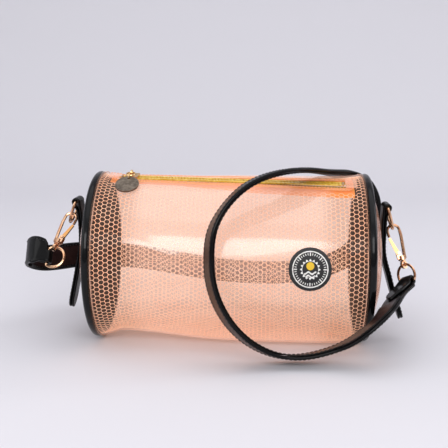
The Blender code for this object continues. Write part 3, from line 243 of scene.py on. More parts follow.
# Barrel wall: one sheet of clear peach-tinted film rolled into a barrel, closed at both ends by
# the piping seams. It lies slack, so it is pinched near the left end and creased across the front.
HALF_LENGTH, END_RADIUS = 0.0982, 0.0604
WALL_SHARES = (               # place along, radius and centre height, of half length and radius
    (-0.947, 0.9967, 1.0000), (-0.876, 0.9652, 1.0033), (-0.794, 0.9404, 1.0199),
    (-0.611, 0.9470, 1.0132), (-0.407, 0.9636, 0.9967), (-0.204, 0.9801, 0.9780),
    (0.000, 0.9917, 0.9735), (0.305, 0.9967, 0.9685), (0.713, 0.9967, 0.9685),
    (0.855, 0.9934, 0.9801), (0.947, 0.9967, 1.0000))
FILM_END, FLOOR_GAP = 0.0928, 0.00005
FILM_END_COLUMNS, FILM_SLOT_COLUMNS, FILM_STEPS_ROUND = 9, 110, 190
WELD = 1e-6                   # points closer than this are one
FILM_BODY_SHARE = 0.65        # how much of the film's milkiness takes shadow; the rest glows
FILM_EDGE_POWER, FILM_EDGE_GAIN, FILM_MIST_GAIN, FILM_LOW_GAIN, FILM_REFLECTION_GAIN = 4.0, 0.55, 0.05, 0.8, 0.7
# spans over which the milkiness grows backwards, fades towards the ends and grows upwards. The milkiness
# carries the film's painted glow, and its rise upwards on the front is a painted reflection of the lamps
# above.
FILM_REAR, FILM_MIDDLE, FILM_REFLECTION_SPAN = (-0.01, 0.03), (0.056, 0.074), (0.05, 0.085)
SLOT_LENGTH, SLOT_WIDTH = 0.162, 0.012
ZIP_MIDDLE, ZIP_SHIFT = 0.0135, 0.0118      # forward of the crown, and its change along the slot
ZIP_SLOPE = ZIP_SHIFT / SLOT_LENGTH
CREASE_END, CREASE_FADE, CREASE_REACH_SHARE = 0.0915, 0.01, 0.42
# creases in the film: place along and angle from the crown of both ends, half width and height
CREASES = (
    ((-0.086, 62), (-0.028, 84), 0.0040, 0.00050), ((-0.088, 48), (-0.060, 74), 0.0035, -0.0004),
    ((-0.030, 84), (0.030, 80), 0.0060, 0.00030), ((0.005, 40), (0.070, 46), 0.0045, 0.00025),
    ((0.028, 66), (0.082, 72), 0.0055, 0.00030), ((-0.080, 100), (0.000, 108), 0.0065, -0.0003),
    ((-0.075, 30), (-0.020, 52), 0.0040, -0.0003), ((0.010, 120), (0.080, 112), 0.006, 0.0002),
    ((-0.07, 210), (0.02, 235), 0.007, 0.0005), ((0.06, 215), (-0.03, 255), 0.006, -0.0004),
    ((-0.05, 290), (0.07, 300), 0.006, 0.0004))


def read_table(rows, place):
    """A smooth reading of a table whose first column rises."""
    rows = [np.array(row, float) for row in rows]
    place = min(max(place, rows[0][0]), rows[-1][0])
    k = max(i for i in range(len(rows) - 1) if rows[i][0] <= place)
    low, high = rows[k], rows[k + 1]
    before, after = rows[max(k - 1, 0)], rows[min(k + 2, len(rows) - 1)]
    span = high[0] - low[0]
    t = (place - low[0]) / span
    slope_low = (high - before) / (high[0] - before[0]) * span
    slope_high = (after - low) / (after[0] - low[0]) * span
    return ((2 * t ** 3 - 3 * t ** 2 + 1) * low + (t ** 3 - 2 * t ** 2 + t) * slope_low
            + (3 * t ** 2 - 2 * t ** 3) * high + (t ** 3 - t ** 2) * slope_high)


def wall_at(x):
    """Radius and centre height of the wall's outer face at a place along the barrel."""
    _, radius, height = read_table(WALL_SHARES, x / HALF_LENGTH)
    return radius * END_RADIUS, height * END_RADIUS


def crease(x, angle):
    """Height of the slack film's creases over its smooth form."""
    turned = math.degrees(angle) % 360
    total = 0.0
    for (x0, a0), (x1, a1), half, height in CREASES:
        along = np.array([x1 - x0, math.radians(a1 - a0) * END_RADIUS])
        length = np.linalg.norm(along)
        offset = np.array([x - x0, math.radians(turned - a0) * END_RADIUS])
        share = offset @ along / length ** 2
        distance = abs(offset[0] * along[1] - offset[1] * along[0]) / length
        fade = math.exp(-((share - 0.5) / CREASE_REACH_SHARE) ** 4)
        total += height * fade * math.exp(-(distance / half) ** 2)
    return total


def on_wall(x, angle, lift=0.0, slack=1.0):
    """A point over the wall at an angle from the crown down the front."""
    radius, height = wall_at(x)
    reach = radius + lift + slack * crease(x, angle) * min((CREASE_END - abs(x)) / CREASE_FADE, 1)
    point = np.array([x, -reach * math.sin(angle), height + reach * math.cos(angle)])
    point[2] = max(point[2], FLOOR_GAP - min(lift, 0))
    return point


def zip_angle(x):
    """Angle from the crown forward to the zip's middle line, which runs askew."""
    return math.asin((ZIP_MIDDLE + ZIP_SLOPE * x) / wall_at(x)[0])


def by_zip(x, forward, lift, slack=0.0):
    return on_wall(x, zip_angle(x) + forward / END_RADIUS, lift, slack)


def add_surface(name, rows, finish, uv_rows=None, kept=None):
    """A sheet through rows of points, with the cells left out that aren't kept. Points that
    coincide are joined, and the sheet faces away from the middle of the barrel."""
    high, wide = len(rows), len(rows[0])
    faces = [(i * wide + j, (i + 1) * wide + j, (i + 1) * wide + j + 1, i * wide + j + 1)
             for i in range(high - 1) for j in range(wide - 1) if not kept or kept(i, j)]
    uvs = [uv for row in uv_rows for uv in row] if uv_rows is not None else None
    made = add_mesh(name, [p for row in rows for p in row], faces, finish, uvs)
    cage = bmesh.new()
    cage.from_mesh(made.data)
    loose = [point for point in cage.verts if not point.link_faces]
    bmesh.ops.delete(cage, geom=loose, context="VERTS")
    bmesh.ops.remove_doubles(cage, verts=cage.verts, dist=WELD)
    middle = Vector((0, 0, END_RADIUS))
    if sum(face.normal.dot(face.calc_center_median() - middle) for face in cage.faces) < 0:
        bmesh.ops.reverse_faces(cage, faces=cage.faces)
    cage.to_mesh(made.data)
    cage.free()
    return made


def film_finish(name, tint, body, haze, rear_haze, glow, middle_haze=0.0):
    """Clear film: a tinted see-through layer under a thin glossy, slightly milky skin. The skin's diffuse
    body is dimmed and made up with a painted glow, which takes no shadow.
    """
    # painted glow: the emission stands in for light scattered in the film, and the dimmed body takes less
    # shadow
    dimmed = tuple(FILM_BODY_SHARE * level for level in body[:3]) + (1,)
    made = Finish(name, dimmed, roughness=0.2, ior=1.8, coat_weight=1.0, coat_roughness=0.10,
                  coat_ior=1.85, emission_color=body, emission_strength=glow)
    made.bump(made.noise(14, stretch=(0.55, 1, 1)), distance=0.008, strength=0.9)
    facing = made.node("ShaderNodeLayerWeight", {}, {"Blend": 0.5}, "Facing")
    edge = made.maths("POWER", facing, FILM_EDGE_POWER)
    mist = made.noise(25, 3.0)
    along, depth, height = made.split()
    off_middle = made.maths("ABSOLUTE", along)
    behind = made.ramp(depth, *FILM_REAR)
    # the milky share, with its rise at grazing edges, carries the painted glow; its rise upwards on the
    # front is a painted reflection of the lamps above
    milky = (haze + rear_haze * behind
             + middle_haze * (1 - behind) * (1 - made.ramp(off_middle, *FILM_MIDDLE))
             * (FILM_LOW_GAIN + FILM_REFLECTION_GAIN * made.ramp(height, *FILM_REFLECTION_SPAN)))
    share = made.node("ShaderNodeClamp", {}, {
        "Value": milky + FILM_EDGE_GAIN * edge + FILM_MIST_GAIN * (mist - 0.5)})
    clear = made.node("ShaderNodeBsdfTransparent", {}, {"Color": tint})
    glossy = Wire(made, made.shader.outputs["BSDF"])
    mixed = made.node("ShaderNodeMixShader", {}, {0: share, 1: clear, 2: glossy})
    made.tree.links.new(mixed.socket, made.tree.nodes["Material Output"].inputs["Surface"])
    return made


film = film_finish("film", colour(255, 238, 226), colour(255, 206, 184), haze=0.03, rear_haze=0.08,
                   middle_haze=0.23, glow=0.57)
film_x = sorted(set(np.round(np.concatenate([
    np.linspace(-FILM_END, -SLOT_LENGTH / 2, FILM_END_COLUMNS),
    np.linspace(-SLOT_LENGTH / 2, SLOT_LENGTH / 2, FILM_SLOT_COLUMNS),
    np.linspace(SLOT_LENGTH / 2, FILM_END, FILM_END_COLUMNS)]), 6)))
edge_angle = SLOT_WIDTH / 2 / END_RADIUS
film_angles = [0.0, *np.linspace(edge_angle, 2 * math.pi - edge_angle, FILM_STEPS_ROUND), 2 * math.pi]
film_rows = [[on_wall(x, zip_angle(x) + a) for a in film_angles] for x in film_x]


def film_kept(i, j):
    middle = (film_x[i] + film_x[i + 1]) / 2
    return abs(middle) > SLOT_LENGTH / 2 or 0 < j < len(film_angles) - 2


wall = add_surface("film_wall", film_rows, film, kept=film_kept)
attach(wall, "bag")
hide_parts("wall_film")

# Net lining: a soft peach net of hexagons hung just inside the film and caught in the same
# seams. It stops short of the zip, where it is sewn to the tapes.
CELL_HEIGHT = 0.0035          # of one hexagon, round the barrel
CELL_STEP = CELL_HEIGHT * math.sqrt(3) / 2
NET_DEPTH, NET_SLOT_WIDTH, NET_SLOT_LENGTH, NET_END = 0.0014, 0.022, 0.171, 0.0922
STRAND_SHARE, STRAND_LIFT = 0.885, 0.00022
PLACE_STEPS, TURN_STEPS = 4e4, 4e3          # cell corners that round alike at these are one

# The net carries a faint painted glow that lightens its strands, light that no lamp gives.
net = Finish("net", colour(255, 220, 194), roughness=0.45, alpha=0.88, specular_ior_level=0.5,
             emission_color=colour(255, 214, 186), emission_strength=0.3)
net.mottle(90, 0.3, 0.7, colour(255, 210, 180), colour(255, 232, 212))
net.bump(net.noise(1500), distance=0.0002, strength=0.5)


def geometry_tree(name, inputs):
    """A Geometry Nodes tree with named inputs, ready for its nodes."""
    group = bpy.data.node_groups.new(name, "GeometryNodeTree")
    group.interface.new_socket("Geometry", in_out="INPUT", socket_type="NodeSocketGeometry")
    group.interface.new_socket("Geometry", in_out="OUTPUT", socket_type="NodeSocketGeometry")
    for label, kind in inputs.items():
        group.interface.new_socket(label, in_out="INPUT", socket_type=f"NodeSocket{kind}")
    tree = Tree(group)
    return tree, tree.node("NodeGroupInput")


def close_tree(tree, geometry, material):
    real = tree.node("GeometryNodeRealizeInstances", {}, {"Geometry": geometry})
    painted = tree.node("GeometryNodeSetMaterial", {}, {"Geometry": real, "Material": material})
    tree.node("NodeGroupOutput", {}, {"Geometry": painted})


def grow(name, seed, group, **values):
    """The plain mesh that a tree makes from a seed object, which is then removed."""
    modifier = seed.modifiers.new(name, "NODES")
    modifier.node_group = group
    sockets = {item.name: item.identifier for item in group.interface.items_tree
               if item.in_out == "INPUT"}
    for label, value in values.items():
        modifier[sockets[label.replace("_", " ").capitalize()]] = value
    bpy.context.view_layer.update()
    graph = bpy.context.evaluated_depsgraph_get()
    mesh = bpy.data.meshes.new_from_object(seed.evaluated_get(graph))
    bpy.data.objects.remove(seed)
    mesh.name = name
    made = bpy.data.objects.new(name, mesh)
    bpy.context.scene.collection.objects.link(made)
    return made


net_tree, net_in = geometry_tree("net of cells", {"Hole share": "Float", "Strand lift": "Float",
                                                  "Finish": "Material"})
ring = net_tree.node("GeometryNodeExtrudeMesh", {"mode": "FACES"},
                     {"Mesh": net_in["Geometry"], "Offset Scale": net_in["Strand lift"] * -1,
                      "Individual": True})
hole = net_tree.node("GeometryNodeScaleElements", {"domain": "FACE"},
                     {"Geometry": ring["Mesh"], "Selection": ring["Top"],
                      "Scale": net_in["Hole share"]})
strands = net_tree.node("GeometryNodeDeleteGeometry", {"domain": "FACE"},
                        {"Geometry": hole, "Selection": ring["Top"]})
close_tree(net_tree, strands, net_in["Finish"])

cell_points, cell_faces, known = [], [], {}
start_angle = NET_SLOT_WIDTH / 2 / END_RADIUS
rows_round = int(round(2 * math.pi * (END_RADIUS - NET_DEPTH) / CELL_HEIGHT))
pitch_angle = 2 * math.pi / rows_round
columns = int((2 * NET_END) / CELL_STEP)
cell_side = CELL_HEIGHT / math.sqrt(3)
for i in range(columns + 1):
    x = (i - columns / 2) * CELL_STEP
    for j in range(rows_round):
        angle = pitch_angle * (j + 0.5 * (i % 2))
        from_zip = min(angle, 2 * math.pi - angle)
        if abs(x) < NET_SLOT_LENGTH / 2 and from_zip < start_angle:
            continue
        corners = []
        for k in range(6):
            turn = k * math.pi / 3
            px = min(max(x + cell_side * math.cos(turn), -NET_END), NET_END)
            pa = angle + pitch_angle * math.sin(turn) / math.sqrt(3)
            key = (round(px * PLACE_STEPS), round(pa * TURN_STEPS))
            if key not in known:
                known[key] = len(cell_points)
                cell_points.append(on_wall(px, zip_angle(px) + pa, -NET_DEPTH))
            corners.append(known[key])
        if len(set(corners)) == 6:
            cell_faces.append(tuple(reversed(corners)))
cells = add_mesh("cells", cell_points, cell_faces)
lining = grow("net_mesh", cells, net_tree.tree, Hole_share=STRAND_SHARE, Strand_lift=STRAND_LIFT,
              Finish=net.material)
lining.data.shade_smooth()
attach(lining, "bag")
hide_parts("net_lining")

# Ends: a black cloth panel and a puffed disc of the same clear film, both caught with the wall in
# a black piping whose cord shows as a round rim. A row of stitches runs round inside each rim.
PIPING_WIRE, PIPING_SHARE, PIPING_STEPS, RIM_STEPS, PANEL_STEPS = 0.003, 0.97, 16, 144, 96
PANEL_EDGE, PANEL_GAP, PANEL_THICK, PANEL_PIERCING = 0.0034, 0.0003, 0.001, 0.0004
PANEL_OUT = HALF_LENGTH - 2 * PIPING_WIRE - PANEL_GAP
END_FILM_EDGE, END_FILM_RISE, END_FILM_SEAT, END_FILM_SINK = 0.0064, 0.0104, 0.0017, 0.0002
END_FILM_ROWS, END_FILM_STEPS_ROUND = 30, 97
EDGE_RIPPLE, BROAD_RIPPLE = 0.0005, 0.0003  # the puffed discs' puckers at the edge, and their folds
SEAM_INSET, SEAM_LIFT, SEAM_STEPS = 0.0012, 0.0001, 181
LONG_STITCH = (0.0030, 0.0022, 0.00055)     # pitch, length and thickness
CLOTH_THREADS = 9000

piping = Finish("piping", colour(9, 9, 10), roughness=0.3, specular_ior_level=0.08, coat_weight=0.3,
                coat_roughness=0.08)
piping.bump(piping.cells(1400), distance=0.00012, strength=0.35)
piping.set("Roughness", 0.18 + 0.14 * piping.noise(160, 3.0))
cloth = Finish("end cloth", colour(30, 19, 15), roughness=0.8)
_, cloth_y, cloth_z = cloth.split()
threads = (cloth.maths("SINE", cloth_y * CLOTH_THREADS)
           * cloth.maths("SINE", cloth_z * CLOTH_THREADS))
cloth.bump(threads, distance=0.0002, strength=0.6)
cloth.set("Base Color", cloth.blend(cloth.ramp(threads + cloth.noise(70), -0.4, 1.4),
                                    colour(24, 13, 9), colour(44, 28, 22)))
end_film = film_finish("end film", colour(250, 225, 212), colour(247, 186, 160), haze=0.13,
                       rear_haze=0.1, glow=0.3)
thread = Finish("thread", colour(26, 25, 26), roughness=0.6)
thread.bump(thread.noise(2500), distance=0.0001)
seam_thread = Finish("seam thread", colour(196, 140, 112), roughness=0.6, alpha=0.7)


def circle(radius, count):
    return [(radius * math.cos(2 * math.pi * k / count), radius * math.sin(2 * math.pi * k / count))
            for k in range(count)]


def loft(name, sections, finish, closed=False, uvs=None):
    """A solid through sections with the same number of points, with flat ends unless it is closed."""
    wide = len(sections[0])
    points = [p for section in sections for p in section]
    rings = len(sections) if closed else len(sections) - 1
    faces = []
    for i in range(rings):
        a, b = i * wide, ((i + 1) % len(sections)) * wide
        faces += [(a + j, a + (j + 1) % wide, b + (j + 1) % wide, b + j) for j in range(wide)]
    if not closed:
        faces.append(tuple(reversed(range(wide))))
        faces.append(tuple(range((len(sections) - 1) * wide, len(points))))
    made = add_mesh(name, points, faces, finish, uvs)
    fix_normals(made)
    return made


def fix_normals(made):
    """Turns the faces outwards, whichever way the sections ran."""
    cage = bmesh.new()
    cage.from_mesh(made.data)
    bmesh.ops.recalc_face_normals(cage, faces=cage.faces)
    cage.to_mesh(made.data)
    cage.free()


def turned_solid(name, profile, sign, finish, segments):
    """A profile of (x, radius) turned round the barrel's axis."""
    sections = [[(sign * x, r * c, END_RADIUS + r * s) for x, r in profile]
                for c, s in circle(1, segments)]
    return loft(name, sections, finish, closed=True)


stitch_tree, stitch_in = geometry_tree("row of stitches", {
    "Pitch": "Float", "Length": "Float", "Thickness": "Float", "Finish": "Material"})
path = stitch_tree.node("GeometryNodeMeshToCurve", {}, {"Mesh": stitch_in["Geometry"]})
spots = stitch_tree.node("GeometryNodeCurveToPoints", {"mode": "LENGTH"},
                         {"Curve": path, "Length": stitch_in["Pitch"]})
bead = stitch_tree.node("GeometryNodeMeshUVSphere", {},
                        {"Segments": 6, "Rings": 5, "Radius": 0.5})
shape = stitch_tree.node("ShaderNodeCombineXYZ", {}, {
    "X": stitch_in["Thickness"], "Y": stitch_in["Thickness"], "Z": stitch_in["Length"]})
bead = stitch_tree.node("GeometryNodeTransform", {}, {"Geometry": bead, "Scale": shape})
smooth = stitch_tree.node("GeometryNodeSetShadeSmooth", {}, {"Geometry": bead})
sewn = stitch_tree.node("GeometryNodeInstanceOnPoints", {}, {
    "Points": spots["Points"], "Instance": smooth, "Rotation": spots["Rotation"]})
close_tree(stitch_tree, sewn, stitch_in["Finish"])


def stitch(name, paths, finish, body, sizes=LONG_STITCH):
    """A row of stitches along each path, as one piece on one body."""
    pitch, length, thick = sizes
    points, edges = [], []
    for path_points in paths:
        first = len(points)
        points += [tuple(map(float, p)) for p in path_points]
        edges += [(k, k + 1) for k in range(first, len(points) - 1)]
    mesh = bpy.data.meshes.new(f"{name}_path")
    mesh.from_pydata(points, edges, [])
    seed = bpy.data.objects.new(f"{name}_path", mesh)
    bpy.context.scene.collection.objects.link(seed)
    made = grow(name, seed, stitch_tree.tree, Pitch=pitch, Length=length, Thickness=thick,
                Finish=finish.material)
    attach(made, body)
    return made


for end, sign in (("left", -1), ("right", 1)):
    rim = [(HALF_LENGTH - PIPING_WIRE + a, END_RADIUS - PIPING_WIRE + b)
           for a, b in circle(PIPING_SHARE * PIPING_WIRE, PIPING_STEPS)]
    cord = turned_solid(f"rim_{end}", rim, sign, piping, RIM_STEPS)
    panel_profile = [
        (PANEL_OUT - PANEL_THICK, PANEL_PIERCING), (PANEL_OUT - PANEL_THICK, END_RADIUS - PANEL_EDGE),
        (PANEL_OUT, END_RADIUS - PANEL_EDGE), (PANEL_OUT, PANEL_PIERCING)]
    panel = turned_solid(f"panel_{end}", panel_profile, sign, cloth, PANEL_STEPS)
    disc_rows = []
    for share in np.linspace(0, 1, END_FILM_ROWS):
        out = HALF_LENGTH - END_FILM_SEAT - END_FILM_SINK + END_FILM_RISE * (1 - share ** 3)
        radius = (END_RADIUS - END_FILM_EDGE) * share
        row = []
        for turn in np.linspace(0, 2 * math.pi, END_FILM_STEPS_ROUND):
            ripple = (EDGE_RIPPLE * share ** 3 * math.sin(9 * turn + 2 * math.sin(3 * turn))
                      + BROAD_RIPPLE * share * math.sin(4 * turn + 9 * share))
            row.append((sign * (out + ripple * (1 - share)), radius * math.cos(turn),
                        END_RADIUS + radius * math.sin(turn)))
        disc_rows.append(row)
    disc = add_surface(f"end_disc_{end}", disc_rows, end_film)
    for piece, node, slot in ((cord, f"piping_{end}", "piping"), (panel, f"end_panel_{end}", "panel"),
                              (disc, f"end_film_{end}", "clear_film")):
        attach(piece, "bag")
        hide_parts(node)
    seam_x = sign * (HALF_LENGTH - 2 * PIPING_WIRE - SEAM_INSET)
    seam = [on_wall(seam_x, turn, SEAM_LIFT, 0) for turn in np.linspace(0, 2 * math.pi, SEAM_STEPS)]
    for point in seam:
        point[2] = max(point[2], LONG_STITCH[2] / 2)
    stitch(f"seam_{end}", [seam], seam_thread, "bag")

# Zip: a yellow nylon zip set into the slot behind the film, askew over the crown. Its tapes are
# woven, with two dark rows of stitches on each side of the teeth, and its front tape hangs wide.
TAPE_DEPTH, TAPE_GAP = 0.0013, 0.0024
TAPE_END, TAPE_EDGE, TAPE_DROP, TAPE_SAG_SHARE = 0.085, 0.0105, 0.0135, 0.6
TAPE_WAVE, TAPE_WAVE_RATE = 0.00012, 900
DROP_START, DROP_RUN = -0.035, 0.05         # where the front tape starts to widen, and over what
TAPE_COLUMNS, TAPE_STEPS, TAPE_THREADS, TAPE_SLANT, TAPE_FADE = 90, 12, 7000, 0.6, (0.0066, 0.0088)
TEETH_EDGE = 0.0032
TAPE_ROW_GAP, TAPE_ROW_END, TAPE_ROW_LIFT, TAPE_ROW_STEPS = 0.0024, 0.079, 0.0001, 60
TAPE_STITCH = (0.0021, 0.0014, 0.0005)

tape = Finish("zip tape", colour(226, 176, 40), roughness=0.6, sheen_weight=0.2)
tape_u, tape_v, _ = tape.split(tape.node("ShaderNodeUVMap", {"uv_map": "UVMap"}))
ribs = (tape.maths("SINE", (tape_v + TAPE_SLANT * tape_u) * TAPE_THREADS)
        * tape.maths("SINE", (tape_v - TAPE_SLANT * tape_u) * TAPE_THREADS))
tape.bump(ribs, distance=0.0002, strength=0.7)
woven = tape.blend(tape.ramp(ribs, -0.8, 0.8), colour(214, 160, 30), colour(248, 210, 76))
tape.set("Base Color", tape.blend(tape.ramp(tape_u, *TAPE_FADE), woven, colour(255, 172, 84)))
teeth = Finish("zip teeth", colour(233, 190, 70), roughness=0.3, coat_weight=0.3)
teeth.mottle(500, 0.35, 0.65, colour(214, 168, 44), colour(242, 208, 96))
tape_thread = Finish("zip thread", colour(92, 74, 20), roughness=0.7)


def paint(finish, *names):
    """Gives the CAD nodes of these names a finish."""
    for node in names:
        nodes[node].material_slots[0].material = finish.material


for row, sign in (("front", 1), ("rear", -1)):
    rows, uv_rows = [], []
    for x in np.linspace(-TAPE_END, TAPE_END, TAPE_COLUMNS):
        spread = max(min((x - DROP_START) / DROP_RUN, 1), 0) if row == "front" else 0
        wide = TAPE_EDGE + (TAPE_DROP - TAPE_EDGE) * spread
        forwards = np.linspace(TAPE_GAP / 2, wide, TAPE_STEPS)
        rows.append([by_zip(x, sign * f, -TAPE_DEPTH - TAPE_WAVE * math.sin(f * TAPE_WAVE_RATE)
                            - max(f - TAPE_EDGE, 0) * TAPE_SAG_SHARE) for f in forwards])
        uv_rows.append([(f, x) for f in forwards])
    band = add_surface(f"tape_{row}", rows, tape, uv_rows)
    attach(band, "bag")
    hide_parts(f"zip_tape_{row}")
    paint(teeth, f"zip_teeth_{row}")
    lines = [[by_zip(x, sign * f, -TAPE_DEPTH + TAPE_ROW_LIFT)
              for x in np.linspace(-TAPE_ROW_END, TAPE_ROW_END, TAPE_ROW_STEPS)]
             for f in (TEETH_EDGE, TEETH_EDGE + TAPE_ROW_GAP)]
    stitch(f"tape_stitches_{row}", lines, tape_thread, "bag", TAPE_STITCH)

# Zip ends and slot edge: the film round the slot is turned over and sewn down, which doubles its
# tint, and a patch of the same film is folded over each end of the zip.
COVER_LENGTH, COVER_WIDTH, COVER_LAP = 0.008, 0.015, 0.002
COVER_STEPS_ALONG, COVER_STEPS_ACROSS, HEM_STEPS = 8, 14, 7
COVER_LIFT, COVER_WAVE, COVER_WAVE_RATE = 0.00105, 0.0001, 500
COVER_ROW_INSET, COVER_ROW_LIFT = 0.0008, 0.00115
COVER_STITCH = (0.0022, 0.0015, 0.0004)
HEM_WIDTH, HEM_LIFT, HEM_CROWN = 0.0036, 0.0002, 0.00025
HEM_ROW_OUT, HEM_ROW_LIFT = 0.001, 0.0005
HEM_STITCH = (0.0028, 0.002, 0.0004)
CORNER_STEPS, LONG_SIDE_STEPS, SHORT_SIDE_STEPS = 6, 80, 6
hem_film = film_finish("folded film", colour(252, 214, 180), colour(252, 174, 114), haze=0.38,
                       rear_haze=0.12, glow=0.6)
cover_film = film_finish("cover film", colour(250, 226, 212), colour(250, 190, 156), haze=0.5,
                         rear_haze=0.15, glow=0.55)
peach_thread = Finish("peach thread", colour(240, 168, 130), roughness=0.6)
slot_corners = [(a * SLOT_LENGTH / 2, b * SLOT_WIDTH / 2)
                for a, b in ((1, 1), (1, -1), (-1, -1), (-1, 1))]
slot_edge = []                # place along, forward, and the way out of the slot
for k, (x, forward) in enumerate(slot_corners):
    next_x, next_forward = slot_corners[(k + 1) % 4]
    for step in range(CORNER_STEPS + 1):
        turn = math.pi / 2 * (1 - k - step / CORNER_STEPS)
        slot_edge.append((x, forward, math.cos(turn), math.sin(turn)))
    for share in np.linspace(0, 1, LONG_SIDE_STEPS if k % 2 else SHORT_SIDE_STEPS)[1:-1]:
        slot_edge.append((x + share * (next_x - x), forward + share * (next_forward - forward),
                          math.cos(turn), math.sin(turn)))
slot_edge.append(slot_edge[0])


def hem_line(out, lift):
    return [by_zip(x + out * way_x, f + out * way_f, lift) for x, f, way_x, way_f in slot_edge]


hem = add_surface("hem", [hem_line(share * HEM_WIDTH, HEM_LIFT + HEM_CROWN * math.sin(math.pi * share))
                          for share in np.linspace(0, 1, HEM_STEPS)], hem_film)
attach(hem, "bag")
stitch("hem_stitches", [hem_line(HEM_ROW_OUT, HEM_ROW_LIFT)], peach_thread, "bag",
       HEM_STITCH)
for end, sign in (("left", -1), ("right", 1)):
    start = SLOT_LENGTH / 2 - COVER_LAP
    rows = [[by_zip(sign * x, f, COVER_LIFT + COVER_WAVE * math.sin(COVER_WAVE_RATE * f))
             for f in np.linspace(-COVER_WIDTH / 2, COVER_WIDTH / 2, COVER_STEPS_ACROSS)]
            for x in np.linspace(start, start + COVER_LENGTH, COVER_STEPS_ALONG)]
    cover = add_surface(f"cover_{end}", rows, cover_film)
    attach(cover, "bag")
    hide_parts(f"zip_cover_{end}")
    near, far = start + COVER_ROW_INSET, start + COVER_LENGTH - COVER_ROW_INSET
    reach = COVER_WIDTH / 2 - COVER_ROW_INSET
    loop = [by_zip(sign * x, f, COVER_ROW_LIFT)
            for x, f in ((near, -reach), (far, -reach), (far, reach), (near, reach), (near, -reach))]
    stitch(f"cover_stitches_{end}", [loop], peach_thread, "bag", COVER_STITCH)

# Slider and pull: a cast slider plated pale gold, a small ring and link, and a round antiqued
# tag with a stamped rim.
gold = Finish("pale gold", colour(226, 190, 136), roughness=0.22, metallic=1.0)
gold.set("Roughness", 0.18 + 0.14 * gold.noise(350, 3.0))
gold.bump(gold.noise(700), distance=0.00006, strength=0.4)
paint(gold, "zip_slider", "pull_ring", "pull_link", "zip_stop_right", "zip_stop_left_front",
      "zip_stop_left_rear")

# where the tag's hole hangs, the way down from it, and how far down the tag's middle is
TAG_HOLE, TAG_HANG, TAG_REACH = (-0.07112, -0.01972, 0.1177), (-0.06775, -0.85459, -0.51487), 0.0062
TAG_RIM_INNER, TAG_RIM_OUTER = (0.0066, 0.0069), (0.0072, 0.0075)
tag = Finish("antique brass", colour(112, 98, 82), roughness=0.42, metallic=1.0)
tag_centre = [hole + TAG_REACH * way for hole, way in zip(TAG_HOLE, TAG_HANG)]
from_centre = tag.node("ShaderNodeVectorMath", {"operation": "SUBTRACT"},
                       {0: tag.place, 1: tag_centre})
tag_radius = tag.node("ShaderNodeVectorMath", {"operation": "LENGTH"}, {0: from_centre}, "Value")
rim_line = tag.ramp(tag_radius, *TAG_RIM_INNER) - tag.ramp(tag_radius, *TAG_RIM_OUTER)
worn = tag.noise(420, 4.0)
flecks = tag.cells(1100)
tag.set("Base Color", tag.blend(tag.ramp(worn, 0.35, 0.7), colour(104, 94, 84),
                                colour(142, 130, 116)))
tag.bump(rim_line * 0.6 + flecks * 0.5 + worn * 0.5, distance=0.0003, strength=0.7)
paint(tag, "pull_tag")

# Badge: a round black rubber patch with a raised white rim line, and inside it a ring of plain
# ticks, a pale rosette, a small yellow sun and two waves, all moulded with it. It is glued on.
BADGE_X, BADGE_ANGLE = 0.55 * HALF_LENGTH, math.radians(84.4)
BADGE_TOP, TICK_HEIGHT, ROSETTE_HEIGHT, FIELD_HEIGHT = 0.0019, 0.0003, 0.00018, 0.00024
TICKS, LONG_EVERY = 40, 5
TICK, LONG_TICK = (0.0090, 0.0104, 0.00022), (0.0086, 0.0108, 0.00034)  # inner, outer, half width
PETALS, PETAL_STEPS, PETAL_MIDDLE, PETAL_DEPTH = 16, 8, 0.0060, 0.0007
FIELD_RADIUS, FIELD_STEPS = 0.0052, 64
rubber = Finish("badge rubber", colour(20, 19, 20), roughness=0.55)
rubber.bump(rubber.noise(900, 3.0), distance=0.0001, strength=0.5)
white = Finish("badge white", colour(236, 234, 228), roughness=0.5)
white.mottle(400, 0.3, 0.7, colour(222, 219, 212), colour(244, 243, 239))
yellow = Finish("badge yellow", colour(232, 190, 40), roughness=0.5)
yellow.bump(yellow.cells(2600), distance=0.0002, strength=0.6)
paint(rubber, "badge_base")
paint(white, "badge_ring", "badge_wave_upper", "badge_wave_lower")
paint(yellow, "badge_sun")


def badge_point(right, down, lift):
    x = BADGE_X + right
    return on_wall(x, BADGE_ANGLE + down / wall_at(x)[0], lift, 0)


def badge_shape(outlines, low, high):
    """Raised shapes that follow the badge, from closed outlines in its own plane."""
    points, faces = [], []
    for shape_line in outlines:
        first, count = len(points), len(shape_line)
        points += [badge_point(a, b, low) for a, b in shape_line]
        points += [badge_point(a, b, high) for a, b in shape_line]
        faces += [(first + k, first + (k + 1) % count, first + count + (k + 1) % count,
                   first + count + k) for k in range(count)]
        faces.append(tuple(first + count + k for k in range(count)))
        faces.append(tuple(first + k for k in reversed(range(count))))
    return points, faces


tick_lines = []
for k, (cos, sin) in enumerate(circle(1, TICKS)):
    inner, outer, half = TICK if k % LONG_EVERY else LONG_TICK
    tick_lines.append([(radius * cos - side * half * sin, radius * sin + side * half * cos)
                       for radius, side in ((inner, -1), (outer, -1), (outer, 1), (inner, 1))])
petal_line = []
for k, (cos, sin) in enumerate(circle(1, PETALS * PETAL_STEPS)):
    radius = PETAL_MIDDLE + PETAL_DEPTH * math.cos(2 * math.pi * k / PETAL_STEPS)
    petal_line.append((radius * cos, radius * sin))
for name, outlines, height, face in (
        ("badge_ticks", tick_lines, TICK_HEIGHT, white),
        ("badge_rosette", [petal_line], ROSETTE_HEIGHT, white),
        ("badge_field", [circle(FIELD_RADIUS, FIELD_STEPS)], FIELD_HEIGHT, rubber)):
    points, faces = badge_shape(outlines, BADGE_TOP, BADGE_TOP + height)
    relief = add_mesh(name, points, faces, face, smooth=False)
    fix_normals(relief)
    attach(relief, "bag")

